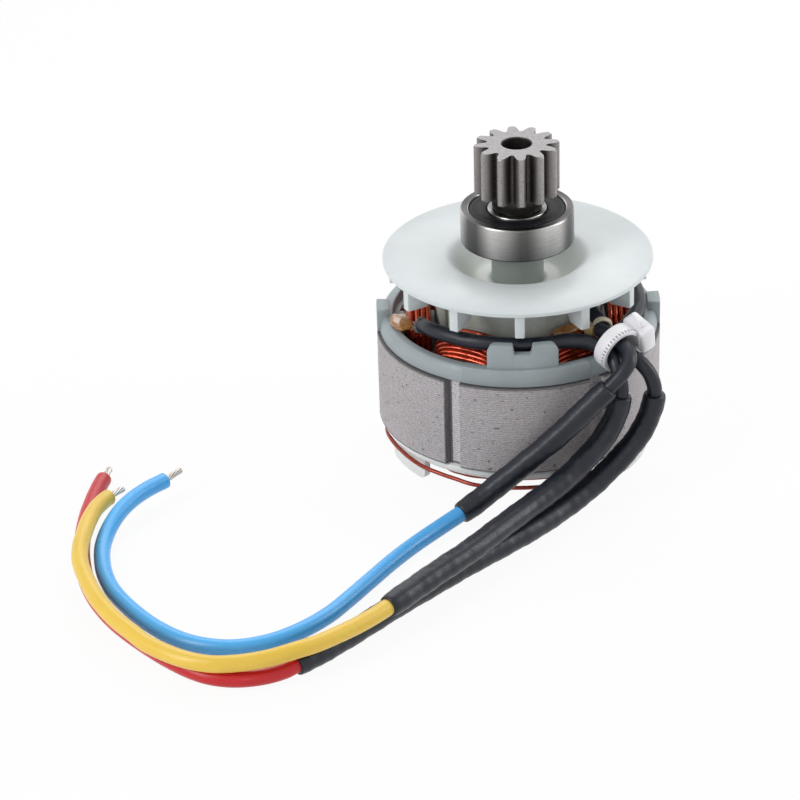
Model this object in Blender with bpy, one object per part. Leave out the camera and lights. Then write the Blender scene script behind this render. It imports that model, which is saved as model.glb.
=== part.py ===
# Lawn mower motor: a brushless motor without its housing.
# The stator stands on three plastic feet. The rotor stands in its bore on +Z and carries
# the cooling fan, the two ball bearings and the drive pinion. Three sleeved leads come out
# over the rim of the top insulator, pass a cable tie and lie on the surface.
# Metres, +Z up, origin on the shaft axis at the surface that the feet stand on.
# Azimuth 0 faces -Y, the side with the notched tab, and grows towards +X.

import math

import bmesh
import bpy
from mathutils import Matrix, Vector

# Fits
SEAT_GAP = 0.0003
PRESS_GAP = 0.0001
AIR_GAP = 0.0006

# Stator stack
STACK_BOTTOM = 0.0071
STACK_HEIGHT = 0.0190
BORE_RADIUS = 0.0156
TOOTH_LENGTH = 0.0090
YOKE_THICKNESS = 0.0044
TOOTH_COUNT = 6
TOOTH_WIDTH = 0.0080
SHOE_TIP = 0.0009
SHOE_ROOT = 0.0021
SHOE_HALF_ANGLE = 25.5
GROOVE_WIDTH = 0.0036
GROOVE_FLOOR_WIDTH = 0.0026
GROOVE_DEPTH = 0.0016

# Insulators
COVER_THICKNESS = 0.0010
COVER_OVERHANG = 0.0004
LEDGE_WIDTH = 0.0006
WALL_INSET = 0.0012
WALL_THICKNESS = 0.0016
WALL_HEIGHT = 0.0032
PLATE_GAP_TO_BORE = 0.0003
PLATE_THICKNESS = 0.0012
PLATE_HALF_ANGLE = 28.4
COVER_LIP_ANGLE = 0.5
PLATE_HEIGHT = 0.0103
LOWER_PLATE_HEIGHT = 0.0056
TAB_HALF_ANGLE = 14.8
TAB_TILT = -0.6
TAB_HEIGHT = 0.0092
TAB_THICKNESS = 0.0017
TAB_CORNER = 0.0016
NOTCH_HALF_ANGLE = 3.7
NOTCH_DEPTH = 0.0020
PAD_HALF_ANGLE = 26.7
PAD_TILT = 1.0
PAD_THICKNESS = 0.0009
PAD_HEIGHT = 0.0036
LUG_HALF_ANGLE = 5.4
LUG_HEIGHT = 0.0049
BAND_INSET = 0.0020
BAND_HEIGHT = 0.0023
FOOT_CENTRES = (-62.0, 62.0, 180.0)
FOOT_HALF_ANGLE = 14.0
FOOT_THICKNESS = 0.0015
FOOT_CORNER = 0.0015

# Windings
COIL_SIDE_BUILD = 0.0037
COIL_TOP_BUILD = 0.0051
COIL_BOTTOM_BUILD = 0.0042
COIL_TO_WALL = 0.0022
COIL_CLEARANCE = 0.0005
COIL_CORNER = 0.0004
COIL_TURNS = 5
OUTER_TURN_SHARES = (0.72, 0.34)
WIRE_RIDGE = 0.00035

# Rotor
MAGNET_COUNT = 4
MAGNET_THICKNESS = 0.0028
MAGNET_HALF_ANGLE = 41.5
ROTOR_INSET = 0.00055
CORE_SHAFT_RADIUS = 0.0046
PLATE_DISC_INSET = 0.0012
PLATE_DISC_THICKNESS = 0.0011
VENT_COUNT = 6
VENT_RADIUS = 0.0013

# Fan
FAN_INSET = 0.0016
BLADE_CLEARANCE = 0.0004
FAN_DISC_THICKNESS = 0.0010
FAN_WELL_RADIUS = 0.0136
FAN_WELL_FLOOR_RADIUS = 0.0098
FAN_WELL_DEPTH = 0.0056
FAN_HUB_RADIUS = 0.0053
BLADE_COUNT = 12
BLADE_TURN = -1.7
BLADE_THICKNESS = 0.0020
BLADE_INSET = 0.0013
BLADE_HEIGHT = 0.0052
BLADE_TIP_WIDTH = 0.0045
BLADE_SLOPE_WIDTH = 0.0036

# Bearings
UPPER_BORE = 0.0040
UPPER_OUTSIDE = 0.0115
UPPER_WIDTH = 0.0070
UPPER_INNER_WALL = 0.0020
UPPER_OUTER_WALL = 0.0025
UPPER_RACE_DEPTH = 0.0004
UPPER_RISE = 0.0032
LOWER_BORE = 0.0025
LOWER_OUTSIDE = 0.0080
LOWER_WIDTH = 0.0050
LOWER_INNER_WALL = 0.0016
LOWER_OUTER_WALL = 0.0016
LOWER_RACE_DEPTH = 0.00025
LOWER_CLEARANCE = 0.00025
BALL_COUNT = 7
BALL_PLAY = 0.00008
RING_CHAMFER = 0.0004
RACE_SHARE = 0.4
SEAL_THICKNESS = 0.0006
SEAL_RECESS = 0.0002
SEAL_SEAT = 0.0008
CAGE_THICKNESS = 0.0007
CAGE_HEIGHT = 0.0008

# Shaft nose and pinion
SPACER_RADIUS = 0.0051
SPACER_LENGTH = 0.0029
PINION_FACE = 0.0104
PINION_TEETH = 12
PINION_TIP_RADIUS = 0.0086
PINION_PITCH_RADIUS = 0.0074
PINION_ROOT_RADIUS = 0.0060
PINION_BORE_RADIUS = 0.0029
PINION_BORE_CHAMFER = 0.0006
SHAFT_RECESS = 0.0070

# Leads
LEAD_DIAMETER = 0.0033
SLEEVE_DIAMETER = 0.0047
THIN_SLEEVE_DIAMETER = 0.0030
CORE_DIAMETER = 0.0013
LEAD_STEP = 3.0
LEAD_TURN = 13.0
JUMPER_DIAMETER = 0.0010
CORD_GAP = 0.0003
TIE_REACH = 0.0010
TIE_RISE = 0.00608
TIE_PLACE_AZIMUTH = 38.3
TIE_AZIMUTH = 38.0
TIE_TILT = 15.0
TIE_INNER_RADIUS = 0.0039
TIE_STRAP_THICKNESS = 0.0009
TIE_STRAP_WIDTH = 0.0026
TIE_HEAD = (0.0060, 0.0056, 0.0036)
TIE_HEAD_TURN = -52.0

# Varnish drops, each set: inset from the stack's edge, azimuth, rise over the stack, radii, turn
VARNISH_LEFT = (0.0046, -75.3, 0.00565, (0.0013, 0.0026, 0.0013), -76.0)
VARNISH_RIGHT = (0.0094, 30.0, 0.0079, (0.0015, 0.0033, 0.0009), 30.0)

# Heights and radii that follow from the sizes above
STACK_TOP = STACK_BOTTOM + STACK_HEIGHT
YOKE_INNER_RADIUS = BORE_RADIUS + TOOTH_LENGTH
STACK_RADIUS = YOKE_INNER_RADIUS + YOKE_THICKNESS
BASE_RADIUS = STACK_RADIUS - LEDGE_WIDTH
WALL_RADIUS = BASE_RADIUS - WALL_INSET
BAND_RADIUS = STACK_RADIUS - BAND_INSET
FAN_RADIUS = STACK_RADIUS - FAN_INSET
BLADE_RADIUS = FAN_RADIUS - BLADE_INSET
COVER_TOP = STACK_TOP + SEAT_GAP + COVER_THICKNESS
COVER_BOTTOM = STACK_BOTTOM - SEAT_GAP - COVER_THICKNESS
PLATE_INNER_RADIUS = BORE_RADIUS + PLATE_GAP_TO_BORE
PLATE_OUTER_RADIUS = PLATE_INNER_RADIUS + PLATE_THICKNESS
COIL_INNER_RADIUS = PLATE_OUTER_RADIUS + COIL_CLEARANCE
COIL_LENGTH = WALL_RADIUS - WALL_THICKNESS - COIL_TO_WALL - COIL_INNER_RADIUS
ROTOR_RADIUS = BORE_RADIUS - AIR_GAP
ROTOR_CORE_RADIUS = ROTOR_RADIUS - MAGNET_THICKNESS - PRESS_GAP
ROTOR_MIDDLE = STACK_BOTTOM + STACK_HEIGHT / 2
ROTOR_BOTTOM = STACK_BOTTOM + ROTOR_INSET
ROTOR_TOP = STACK_TOP - ROTOR_INSET
PLATE_DISC_RADIUS = ROTOR_RADIUS - PLATE_DISC_INSET
VENT_CIRCLE_RADIUS = (ROTOR_CORE_RADIUS + CORE_SHAFT_RADIUS) / 2
BLADE_BOTTOM = STACK_TOP + SEAT_GAP + TAB_HEIGHT + BLADE_CLEARANCE
FAN_TOP = BLADE_BOTTOM + BLADE_HEIGHT + FAN_DISC_THICKNESS
UPPER_BOTTOM = FAN_TOP + UPPER_RISE
UPPER_TOP = UPPER_BOTTOM + UPPER_WIDTH
LOWER_TOP = ROTOR_BOTTOM - SEAT_GAP - PLATE_DISC_THICKNESS - LOWER_CLEARANCE
LOWER_BOTTOM = LOWER_TOP - LOWER_WIDTH
PINION_BOTTOM = UPPER_TOP + 2 * SEAT_GAP + SPACER_LENGTH
PINION_TOP = PINION_BOTTOM + PINION_FACE
FAN_HUB_BOTTOM = ROTOR_TOP + PLATE_DISC_THICKNESS + 2 * SEAT_GAP
FAN_HUB_TOP = UPPER_BOTTOM - SEAT_GAP

ROUND_STEPS = 72
COVER_STEPS = 48
PLATE_STEPS = 6
FINE_STEPS = 40
COARSE_STEPS = 32

# Routes of the leads in millimetres, chosen by hand along the leads as they lie. Each
# lead is one smooth curve through its four routes, and each route starts where the one
# before it ends.
BLUE_INNER_ROUTE = [
    (14.3, -13.0, 34.6), (15.6, -15.9, 34.1), (15.7, -19.5, 33.9), (17.44, -22.36, 34.35),
    (18.39, -23.58, 33.99), (19.3, -24.9, 33.7), (20.4, -27.2, 33.1), (20.4, -29.6, 31.9),
    (18.7, -31.3, 30.0), (16.3, -31.9, 27.6),
]
BLUE_SLEEVE_ROUTE = [
    (12.8, -32.3, 24.2), (8.7, -32.6, 20.0), (4.2, -32.6, 15.5), (-0.8, -32.7, 11.0),
    (-5.7, -33.4, 7.2), (-9.6, -34.8, 4.6), (-13.3, -37.0, 3.0),
]
BLUE_LEAD_ROUTE = [
    (-17.3, -40.3, 2.1), (-22.2, -45.6, 1.7), (-26.9, -52.0, 1.7), (-31.5, -59.1, 1.7),
    (-35.3, -65.0, 1.7), (-39.5, -71.0, 1.7), (-44.9, -76.3, 1.7), (-50.8, -79.9, 1.7),
    (-57.7, -81.3, 1.7), (-64.8, -79.4, 1.7), (-70.9, -74.7, 1.7), (-76.2, -68.1, 1.7),
    (-80.4, -61.0, 1.7), (-82.6, -54.9, 1.7), (-83.6, -49.7, 1.8), (-83.9, -44.4, 2.1),
    (-83.1, -39.2, 2.8), (-81.3, -34.4, 3.8), (-78.8, -30.3, 4.5), (-75.8, -26.7, 4.8),
    (-72.6, -23.5, 4.8),
]
BLUE_CORE_ROUTE = [
    (-71.1, -21.6, 4.9), (-69.6, -19.8, 5.0),
]
YELLOW_INNER_ROUTE = [
    (-19.9, -10.6, 31.6), (-17.5, -15.5, 32.9), (-12.9, -19.4, 33.1), (-7.9, -21.8, 33.1),
    (-0.7, -23.0, 33.0), (4.3, -22.8, 33.0), (8.5, -22.0, 33.1), (11.8, -21.9, 32.9),
    (14.0, -22.1, 32.3), (15.6, -23.0, 31.7), (16.8, -24.1, 31.4), (17.7, -25.2, 30.8),
    (18.4, -26.8, 29.1), (18.9, -27.8, 26.8), (19.0, -28.1, 23.8),
]
YELLOW_SLEEVE_ROUTE = [
    (18.0, -28.0, 19.3), (15.9, -28.9, 15.4), (12.8, -31.0, 12.4), (8.9, -34.0, 9.9),
    (5.0, -37.8, 8.5), (0.7, -42.0, 7.6), (-5.3, -49.3, 7.3), (-12.1, -57.8, 7.0),
    (-18.0, -64.4, 6.8), (-22.9, -69.9, 6.5), (-28.1, -75.8, 6.2),
]
YELLOW_LEAD_ROUTE = [
    (-31.6, -79.5, 6.1), (-35.3, -82.9, 6.1), (-40.9, -87.5, 6.3), (-45.2, -90.3, 6.6),
    (-50.1, -91.7, 6.0), (-55.4, -92.1, 5.4), (-60.9, -91.8, 5.2), (-66.5, -89.5, 5.2),
    (-72.3, -84.9, 5.2), (-75.6, -80.7, 5.2), (-79.7, -74.9, 5.2), (-83.4, -67.7, 5.3),
    (-85.8, -60.7, 5.3), (-87.3, -54.8, 5.3), (-87.7, -49.4, 5.3), (-87.4, -44.6, 5.2),
    (-86.8, -39.5, 5.2), (-85.9, -34.8, 5.0), (-84.6, -30.9, 4.6), (-83.6, -28.9, 4.4),
]
YELLOW_CORE_ROUTE = [
    (-82.4, -26.9, 4.2), (-81.0, -25.0, 4.0),
]
RED_INNER_ROUTE = [
    (19.8, 10.6, 32.5), (23.1, 5.6, 32.6), (24.4, 0.0, 32.3), (24.1, -6.0, 32.4),
    (22.5, -11.3, 32.5), (20.5, -15.6, 32.4), (18.9, -18.9, 32.0), (18.8, -21.1, 31.6),
    (19.7, -22.6, 31.2), (21.4, -24.1, 30.5), (23.5, -25.3, 29.0), (25.2, -25.8, 26.4),
    (25.9, -25.6, 22.6),
]
RED_SLEEVE_ROUTE = [
    (24.9, -25.2, 17.6), (22.7, -25.6, 13.0), (19.1, -27.0, 9.0), (16.0, -28.6, 6.5),
    (12.7, -31.0, 4.6), (7.7, -35.6, 3.2), (1.6, -41.8, 2.6), (-5.3, -48.3, 2.4),
    (-12.1, -54.7, 2.4), (-18.0, -60.6, 2.4), (-26.5, -69.3, 2.4), (-35.3, -78.9, 2.4),
    (-41.0, -84.7, 2.4), (-45.3, -88.6, 2.4),
]
RED_LEAD_ROUTE = [
    (-47.4, -89.8, 2.0), (-50.4, -90.8, 1.7), (-53.8, -91.6, 1.7), (-57.5, -91.6, 1.7),
    (-61.1, -90.6, 1.7), (-64.0, -88.9, 1.7), (-66.8, -86.6, 1.7), (-70.7, -82.7, 1.7),
    (-75.7, -76.8, 1.7), (-80.0, -70.8, 1.7), (-83.5, -64.1, 1.7), (-85.9, -57.2, 1.7),
    (-87.3, -50.8, 1.7), (-88.0, -44.9, 1.7), (-88.2, -37.9, 1.7), (-87.9, -31.3, 1.7),
    (-87.2, -25.4, 1.7), (-86.3, -20.0, 1.7), (-85.6, -16.9, 1.7),
]
RED_CORE_ROUTE = [
    (-85.2, -14.6, 1.5), (-84.7, -12.3, 1.4),
]
# Jumper wires under the stack: azimuth, inset from the band's edge and depth under the cover,
# both in millimetres
JUMPER_ROUTES = [
    [
        (-94.3, 0.03, 2.20), (-82.7, -0.72, 1.90), (-71.3, -0.77, 1.80), (-58.3, -0.75, 1.90),
        (-47.9, -0.75, 2.20), (-39.1, -0.30, 2.50), (-31.9, 0.14, 2.90), (-20.5, 0.10, 3.30),
        (-2.2, 0.98, 3.70), (15.6, 1.04, 3.70), (30.6, 1.45, 3.30), (43.7, 1.82, 2.90),
    ],
    [
        (-38.5, 1.95, 1.90), (-34.9, 1.51, 2.00), (-30.4, 1.50, 2.05), (-21.7, 1.60, 2.10),
        (-2.3, 2.58, 2.40), (16.0, 2.34, 2.40), (32.0, 2.47, 2.30), (40.0, 2.72, 2.00),
    ],
]


def clear_scene():
    for item in list(bpy.data.objects):
        bpy.data.objects.remove(item, do_unlink=True)


def surface(name, colour, roughness, metallic=0.0):
    material = bpy.data.materials.new(name)
    material.use_nodes = True
    shader = material.node_tree.nodes["Principled BSDF"]
    shader.inputs["Base Color"].default_value = (*colour, 1.0)
    shader.inputs["Roughness"].default_value = roughness
    shader.inputs["Metallic"].default_value = metallic
    return material


def polar(radius, azimuth, height=0.0):
    angle = math.radians(azimuth)
    return Vector((radius * math.sin(angle), -radius * math.cos(angle), height))


def turn_to(azimuth):
    return Matrix.Rotation(math.radians(azimuth - 90.0), 4, "Z")


def finish_object(name, mesh_builder, material, smooth=True):
    bmesh.ops.remove_doubles(mesh_builder, verts=mesh_builder.verts, dist=1e-8)
    bmesh.ops.recalc_face_normals(mesh_builder, faces=mesh_builder.faces)
    mesh = bpy.data.meshes.new(name)
    mesh_builder.to_mesh(mesh)
    mesh_builder.free()
    if smooth:
        mesh.shade_smooth()
        mesh.set_sharp_from_angle(angle=math.radians(35.0))
    mesh.materials.append(material)
    item = bpy.data.objects.new(name, mesh)
    bpy.context.scene.collection.objects.link(item)
    return item


def apply_boolean(target, tool, operation):
    modifier = target.modifiers.new("join", "BOOLEAN")
    modifier.operation = operation
    modifier.solver = "EXACT"
    modifier.object = tool
    view = bpy.context.evaluated_depsgraph_get()
    shaped = bpy.data.meshes.new_from_object(target.evaluated_get(view))
    target.modifiers.remove(modifier)
    target.data = shaped
    bpy.data.objects.remove(tool, do_unlink=True)


def join_all(target, tools):
    for tool in tools:
        apply_boolean(target, tool, "UNION")
    merge_flat_faces(target)
    return target


def merge_flat_faces(item):
    builder = bmesh.new()
    builder.from_mesh(item.data)
    bmesh.ops.dissolve_limit(
        builder, angle_limit=math.radians(0.05), verts=builder.verts[:], edges=builder.edges[:],
    )
    bmesh.ops.triangulate(builder, faces=builder.faces[:], ngon_method="EAR_CLIP")
    if all(len(edge.link_faces) == 2 for edge in builder.edges):
        builder.to_mesh(item.data)
    builder.free()


def add_turned(builder, profile, steps, start=Matrix.Identity(4)):
    # A closed profile of (radius, height) points, or an open one with both ends on the axis.
    open_profile = profile[0][0] == 0.0 and profile[-1][0] == 0.0
    points = [builder.verts.new((radius, 0.0, height)) for radius, height in profile]
    pairs = list(zip(points, points[1:]))
    if not open_profile:
        pairs.append((points[-1], points[0]))
    edges = [builder.edges.new(pair) for pair in pairs]
    made = bmesh.ops.spin(
        builder, geom=points + edges, cent=(0, 0, 0), axis=(0, 0, 1),
        angle=2 * math.pi, steps=steps, use_duplicate=False,
    )
    bmesh.ops.remove_doubles(builder, verts=builder.verts, dist=1e-7)
    bmesh.ops.transform(builder, matrix=start, verts=builder.verts)
    return made


def turned(name, profile, steps, material):
    builder = bmesh.new()
    add_turned(builder, profile, steps)
    return finish_object(name, builder, material)


def ring_profile(inner, outer, bottom, top, chamfer=0.0):
    if chamfer == 0.0:
        return [(inner, bottom), (outer, bottom), (outer, top), (inner, top)]
    return [
        (inner, bottom), (outer - chamfer, bottom), (outer, bottom + chamfer),
        (outer, top - chamfer), (outer - chamfer, top), (inner, top),
    ]


def extruded(name, loops, bottom, top, material, smooth=False):
    # The first loop is the outline, and the others are holes in it.
    builder = bmesh.new()
    for loop in loops:
        points = [builder.verts.new((x, y, bottom)) for x, y in loop]
        for first, second in zip(points, points[1:] + points[:1]):
            builder.edges.new((first, second))
    bmesh.ops.triangle_fill(builder, edges=builder.edges[:], use_beauty=True)
    region = bmesh.ops.extrude_face_region(builder, geom=builder.faces[:])
    lifted = [item for item in region["geom"] if isinstance(item, bmesh.types.BMVert)]
    bmesh.ops.translate(builder, verts=lifted, vec=(0, 0, top - bottom))
    return finish_object(name, builder, material, smooth)


def radial_prism(name, profile, thickness, azimuth, material):
    # A flat plate of (radius, height) points that stands on the line at one azimuth.
    builder = bmesh.new()
    points = [builder.verts.new((radius, -thickness / 2, height)) for radius, height in profile]
    face = builder.faces.new(points)
    region = bmesh.ops.extrude_face_region(builder, geom=[face])
    lifted = [item for item in region["geom"] if isinstance(item, bmesh.types.BMVert)]
    bmesh.ops.translate(builder, verts=lifted, vec=(0, thickness, 0))
    bmesh.ops.transform(builder, matrix=turn_to(azimuth), verts=builder.verts)
    return finish_object(name, builder, material, smooth=False)


def curved_wall(name, inner, outer, stations, material):
    # A wall on a circle, with its lower and upper edge given at each azimuth.
    builder = bmesh.new()
    rings = []
    for azimuth, low, high in stations:
        corners = [(inner, low), (outer, low), (outer, high), (inner, high)]
        rings.append([builder.verts.new(polar(radius, azimuth, z)) for radius, z in corners])
    for before, after in zip(rings, rings[1:]):
        for k in range(4):
            nearby = (k + 1) % 4
            builder.faces.new((before[k], before[nearby], after[nearby], after[k]))
    builder.faces.new(rings[0])
    builder.faces.new(rings[-1])
    bmesh.ops.triangulate(builder, faces=builder.faces[:])
    return finish_object(name, builder, material, smooth=False)


def even_steps(first, last, count):
    return [first + (last - first) * k / count for k in range(count + 1)]


def plain_stations(centre, half_angle, low, high, count):
    return [(azimuth, low, high) for azimuth in even_steps(centre - half_angle, centre + half_angle, count)]


def tooth_azimuths():
    return [30.0 + 360.0 / TOOTH_COUNT * k for k in range(TOOTH_COUNT)]


def stack_outline():
    outline = []
    edge_angle = math.degrees(math.asin(GROOVE_WIDTH / 2 / STACK_RADIUS))
    floor_radius = STACK_RADIUS - GROOVE_DEPTH
    floor_angle = math.degrees(math.asin(GROOVE_FLOOR_WIDTH / 2 / floor_radius))
    pitch = 360.0 / TOOTH_COUNT
    for azimuth in tooth_azimuths():
        outline.append(polar(STACK_RADIUS, azimuth - edge_angle).xy)
        outline.append(polar(floor_radius, azimuth - floor_angle).xy)
        outline.append(polar(floor_radius, azimuth + floor_angle).xy)
        for turn in even_steps(azimuth + edge_angle, azimuth + pitch - edge_angle, 10)[:-1]:
            outline.append(polar(STACK_RADIUS, turn).xy)
    return outline


def tooth_outline(yoke_radius, half_width, shoe_outer, shoe_tip_radius, shoe_inner, half_angle):
    # The inside edge of the yoke with one tooth, and its shoe, for each coil.
    outline = []
    pitch = 360.0 / TOOTH_COUNT
    yoke_angle = math.degrees(math.asin(half_width / yoke_radius))
    side_angle = math.degrees(math.asin(half_width / shoe_outer))
    for azimuth in tooth_azimuths():
        for turn in even_steps(azimuth - pitch / 2, azimuth - yoke_angle, 4)[1:]:
            outline.append(polar(yoke_radius, turn).xy)
        outline.append(polar(shoe_outer, azimuth - side_angle).xy)
        outline.append(polar(shoe_tip_radius, azimuth - half_angle).xy)
        for turn in even_steps(azimuth - half_angle, azimuth + half_angle, 9):
            outline.append(polar(shoe_inner, turn).xy)
        outline.append(polar(shoe_tip_radius, azimuth + half_angle).xy)
        outline.append(polar(shoe_outer, azimuth + side_angle).xy)
        for turn in even_steps(azimuth + yoke_angle, azimuth + pitch / 2, 4):
            outline.append(polar(yoke_radius, turn).xy)
    return outline


def circle_outline(radius, steps, centre=(0.0, 0.0)):
    turns = [2 * math.pi * k / steps for k in range(steps)]
    return [(centre[0] + radius * math.cos(a), centre[1] + radius * math.sin(a)) for a in turns]


def build_stack(steel):
    inner = tooth_outline(
        YOKE_INNER_RADIUS, TOOTH_WIDTH / 2, BORE_RADIUS + SHOE_ROOT,
        BORE_RADIUS + SHOE_TIP, BORE_RADIUS, SHOE_HALF_ANGLE,
    )
    return extruded("stator_stack", [stack_outline(), inner], STACK_BOTTOM, STACK_TOP, steel)


def insulator_cover(name, bottom, top, base_radius, material):
    half_width = TOOTH_WIDTH / 2 + COVER_OVERHANG
    plate_root = PLATE_OUTER_RADIUS + COVER_OVERHANG / 2
    inner = tooth_outline(
        YOKE_INNER_RADIUS, half_width, plate_root,
        plate_root, PLATE_INNER_RADIUS - PLATE_GAP_TO_BORE / 2, PLATE_HALF_ANGLE + COVER_LIP_ANGLE,
    )
    return extruded(name, [circle_outline(base_radius, COVER_STEPS), inner], bottom, top, material)


def tab_stations(base):
    # The notched front tab, with round upper corners.
    top = STACK_TOP + SEAT_GAP + TAB_HEIGHT
    corner_angle = math.degrees(TAB_CORNER / WALL_RADIUS)
    left = TAB_TILT - TAB_HALF_ANGLE
    right = TAB_TILT + TAB_HALF_ANGLE
    stations = []
    for k in range(4):
        turn = math.radians(30.0 * k)
        drop = TAB_CORNER * (1 - math.sin(turn))
        stations.append((left + corner_angle * (1 - math.cos(turn)), base, top - drop))
    stations.append((TAB_TILT - NOTCH_HALF_ANGLE - 3.0, base, top))
    stations.append((TAB_TILT - NOTCH_HALF_ANGLE - 0.4, base, top))
    stations.append((TAB_TILT - NOTCH_HALF_ANGLE, base, top - NOTCH_DEPTH))
    stations.append((TAB_TILT, base, top - NOTCH_DEPTH))
    stations.append((TAB_TILT + NOTCH_HALF_ANGLE, base, top - NOTCH_DEPTH))
    stations.append((TAB_TILT + NOTCH_HALF_ANGLE + 0.4, base, top))
    stations.append((TAB_TILT + NOTCH_HALF_ANGLE + 3.0, base, top))
    for k in range(4):
        turn = math.radians(90.0 - 30.0 * k)
        drop = TAB_CORNER * (1 - math.sin(turn))
        stations.append((right - corner_angle * (1 - math.cos(turn)), base, top - drop))
    return stations


def build_top_insulator(nylon):
    bottom = STACK_TOP + SEAT_GAP
    overlap = COVER_THICKNESS / 2
    base = bottom + overlap
    cover = insulator_cover("insulator_top", bottom, COVER_TOP, BASE_RADIUS, nylon)
    wall_profile = ring_profile(WALL_RADIUS - WALL_THICKNESS, WALL_RADIUS, base, bottom + WALL_HEIGHT)
    pieces = [turned("wall", wall_profile, COVER_STEPS, nylon)]
    for azimuth in tooth_azimuths():
        stations = plain_stations(azimuth, PLATE_HALF_ANGLE, base, bottom + PLATE_HEIGHT, PLATE_STEPS)
        pieces.append(curved_wall("plate", PLATE_INNER_RADIUS, PLATE_OUTER_RADIUS, stations, nylon))
    tab_outer = WALL_RADIUS + PAD_THICKNESS / 2
    tab = curved_wall("tab", tab_outer - TAB_THICKNESS, tab_outer, tab_stations(base), nylon)
    pad = curved_wall(
        "pad", WALL_RADIUS - WALL_THICKNESS / 2, WALL_RADIUS + PAD_THICKNESS,
        plain_stations(PAD_TILT, PAD_HALF_ANGLE, bottom + overlap / 2, bottom + PAD_HEIGHT, 8), nylon,
    )
    pieces.extend([pad, tab])
    for side in (-90.0, 90.0):
        stations = plain_stations(side, LUG_HALF_ANGLE, bottom + overlap / 3, bottom + LUG_HEIGHT, 3)
        pieces.append(curved_wall("lug", WALL_RADIUS - WALL_THICKNESS / 2, STACK_RADIUS, stations, nylon))
    return join_all(cover, pieces)


def foot_stations(centre, low, high):
    corner_angle = math.degrees(FOOT_CORNER / BAND_RADIUS)
    stations = []
    for k in range(4):
        turn = math.radians(30.0 * k)
        rise = FOOT_CORNER * (1 - math.sin(turn))
        stations.append((centre - FOOT_HALF_ANGLE + corner_angle * (1 - math.cos(turn)), low + rise, high))
    inner_half = FOOT_HALF_ANGLE - corner_angle
    for azimuth in even_steps(centre - inner_half, centre + inner_half, 5)[1:-1]:
        stations.append((azimuth, low, high))
    for k in range(4):
        turn = math.radians(90.0 - 30.0 * k)
        rise = FOOT_CORNER * (1 - math.sin(turn))
        stations.append((centre + FOOT_HALF_ANGLE - corner_angle * (1 - math.cos(turn)), low + rise, high))
    return stations


def build_bottom_insulator(nylon):
    top = STACK_BOTTOM - SEAT_GAP
    overlap = COVER_THICKNESS / 2
    base = top - overlap
    cover = insulator_cover("insulator_bottom", COVER_BOTTOM, top, BASE_RADIUS, nylon)
    band_profile = ring_profile(BAND_RADIUS - WALL_THICKNESS, BAND_RADIUS, top - BAND_HEIGHT, base)
    pieces = [turned("band", band_profile, COVER_STEPS, nylon)]
    for azimuth in tooth_azimuths():
        stations = plain_stations(azimuth, PLATE_HALF_ANGLE, top - LOWER_PLATE_HEIGHT, base, PLATE_STEPS)
        pieces.append(curved_wall("plate", PLATE_INNER_RADIUS, PLATE_OUTER_RADIUS, stations, nylon))
    foot_outer = BAND_RADIUS - PRESS_GAP
    for centre in FOOT_CENTRES:
        stations = foot_stations(centre, 0.0, base - overlap / 2)
        pieces.append(curved_wall("foot", foot_outer - FOOT_THICKNESS, foot_outer, stations, nylon))
    return join_all(cover, pieces)


def coil_section():
    # Radius and build share across the winding: flat inside, ridged by the turns outside.
    inner = COIL_INNER_RADIUS
    pitch = COIL_LENGTH / COIL_TURNS
    section = [(inner, 0.0, 0.0), (inner + COIL_LENGTH, 0.0, 0.0)]
    for k in range(COIL_TURNS - 1, -1, -1):
        from_last = COIL_TURNS - 1 - k
        share = OUTER_TURN_SHARES[1 - from_last] if from_last < 2 else 1.0
        section.append((inner + pitch * (k + 0.85), share, WIRE_RIDGE))
        section.append((inner + pitch * (k + 0.35), share, 0.0))
    section.append((inner, 0.9, WIRE_RIDGE))
    return section


def coil_path():
    # Points round the tooth with their outward directions and the build there.
    half_width = TOOTH_WIDTH / 2 + COVER_OVERHANG + PRESS_GAP
    top = COVER_TOP + SEAT_GAP
    bottom = COVER_BOTTOM - SEAT_GAP
    path = []
    corners = [
        (half_width, top, 90.0, COIL_TOP_BUILD, COIL_SIDE_BUILD),
        (half_width, bottom, 0.0, COIL_SIDE_BUILD, COIL_BOTTOM_BUILD),
        (-half_width, bottom, -90.0, COIL_BOTTOM_BUILD, COIL_SIDE_BUILD),
        (-half_width, top, -180.0, COIL_SIDE_BUILD, COIL_TOP_BUILD),
    ]
    for across, height, start, first_build, second_build in corners:
        centre_across = across - math.copysign(COIL_CORNER, across)
        centre_height = height - math.copysign(COIL_CORNER, height - ROTOR_MIDDLE)
        for k in range(4):
            turn = math.radians(start - 30.0 * k)
            build = first_build + (second_build - first_build) * k / 3
            outward = (math.cos(turn), math.sin(turn))
            place = (centre_across + COIL_CORNER * outward[0], centre_height + COIL_CORNER * outward[1])
            path.append((place, outward, build))
    return path


def build_coil(number, azimuth, copper):
    builder = bmesh.new()
    section = coil_section()
    rings = []
    for place, outward, build in coil_path():
        ring = []
        for radius, share, ridge in section:
            reach = max(build * share - ridge, 0.0)
            ring.append(builder.verts.new((radius, place[0] + outward[0] * reach, place[1] + outward[1] * reach)))
        rings.append(ring)
    count = len(section)
    for before, after in zip(rings, rings[1:] + rings[:1]):
        for k in range(count):
            nearby = (k + 1) % count
            builder.faces.new((before[k], before[nearby], after[nearby], after[k]))
    bmesh.ops.transform(builder, matrix=turn_to(azimuth), verts=builder.verts)
    return finish_object(f"winding_{number}", builder, copper)


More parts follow.
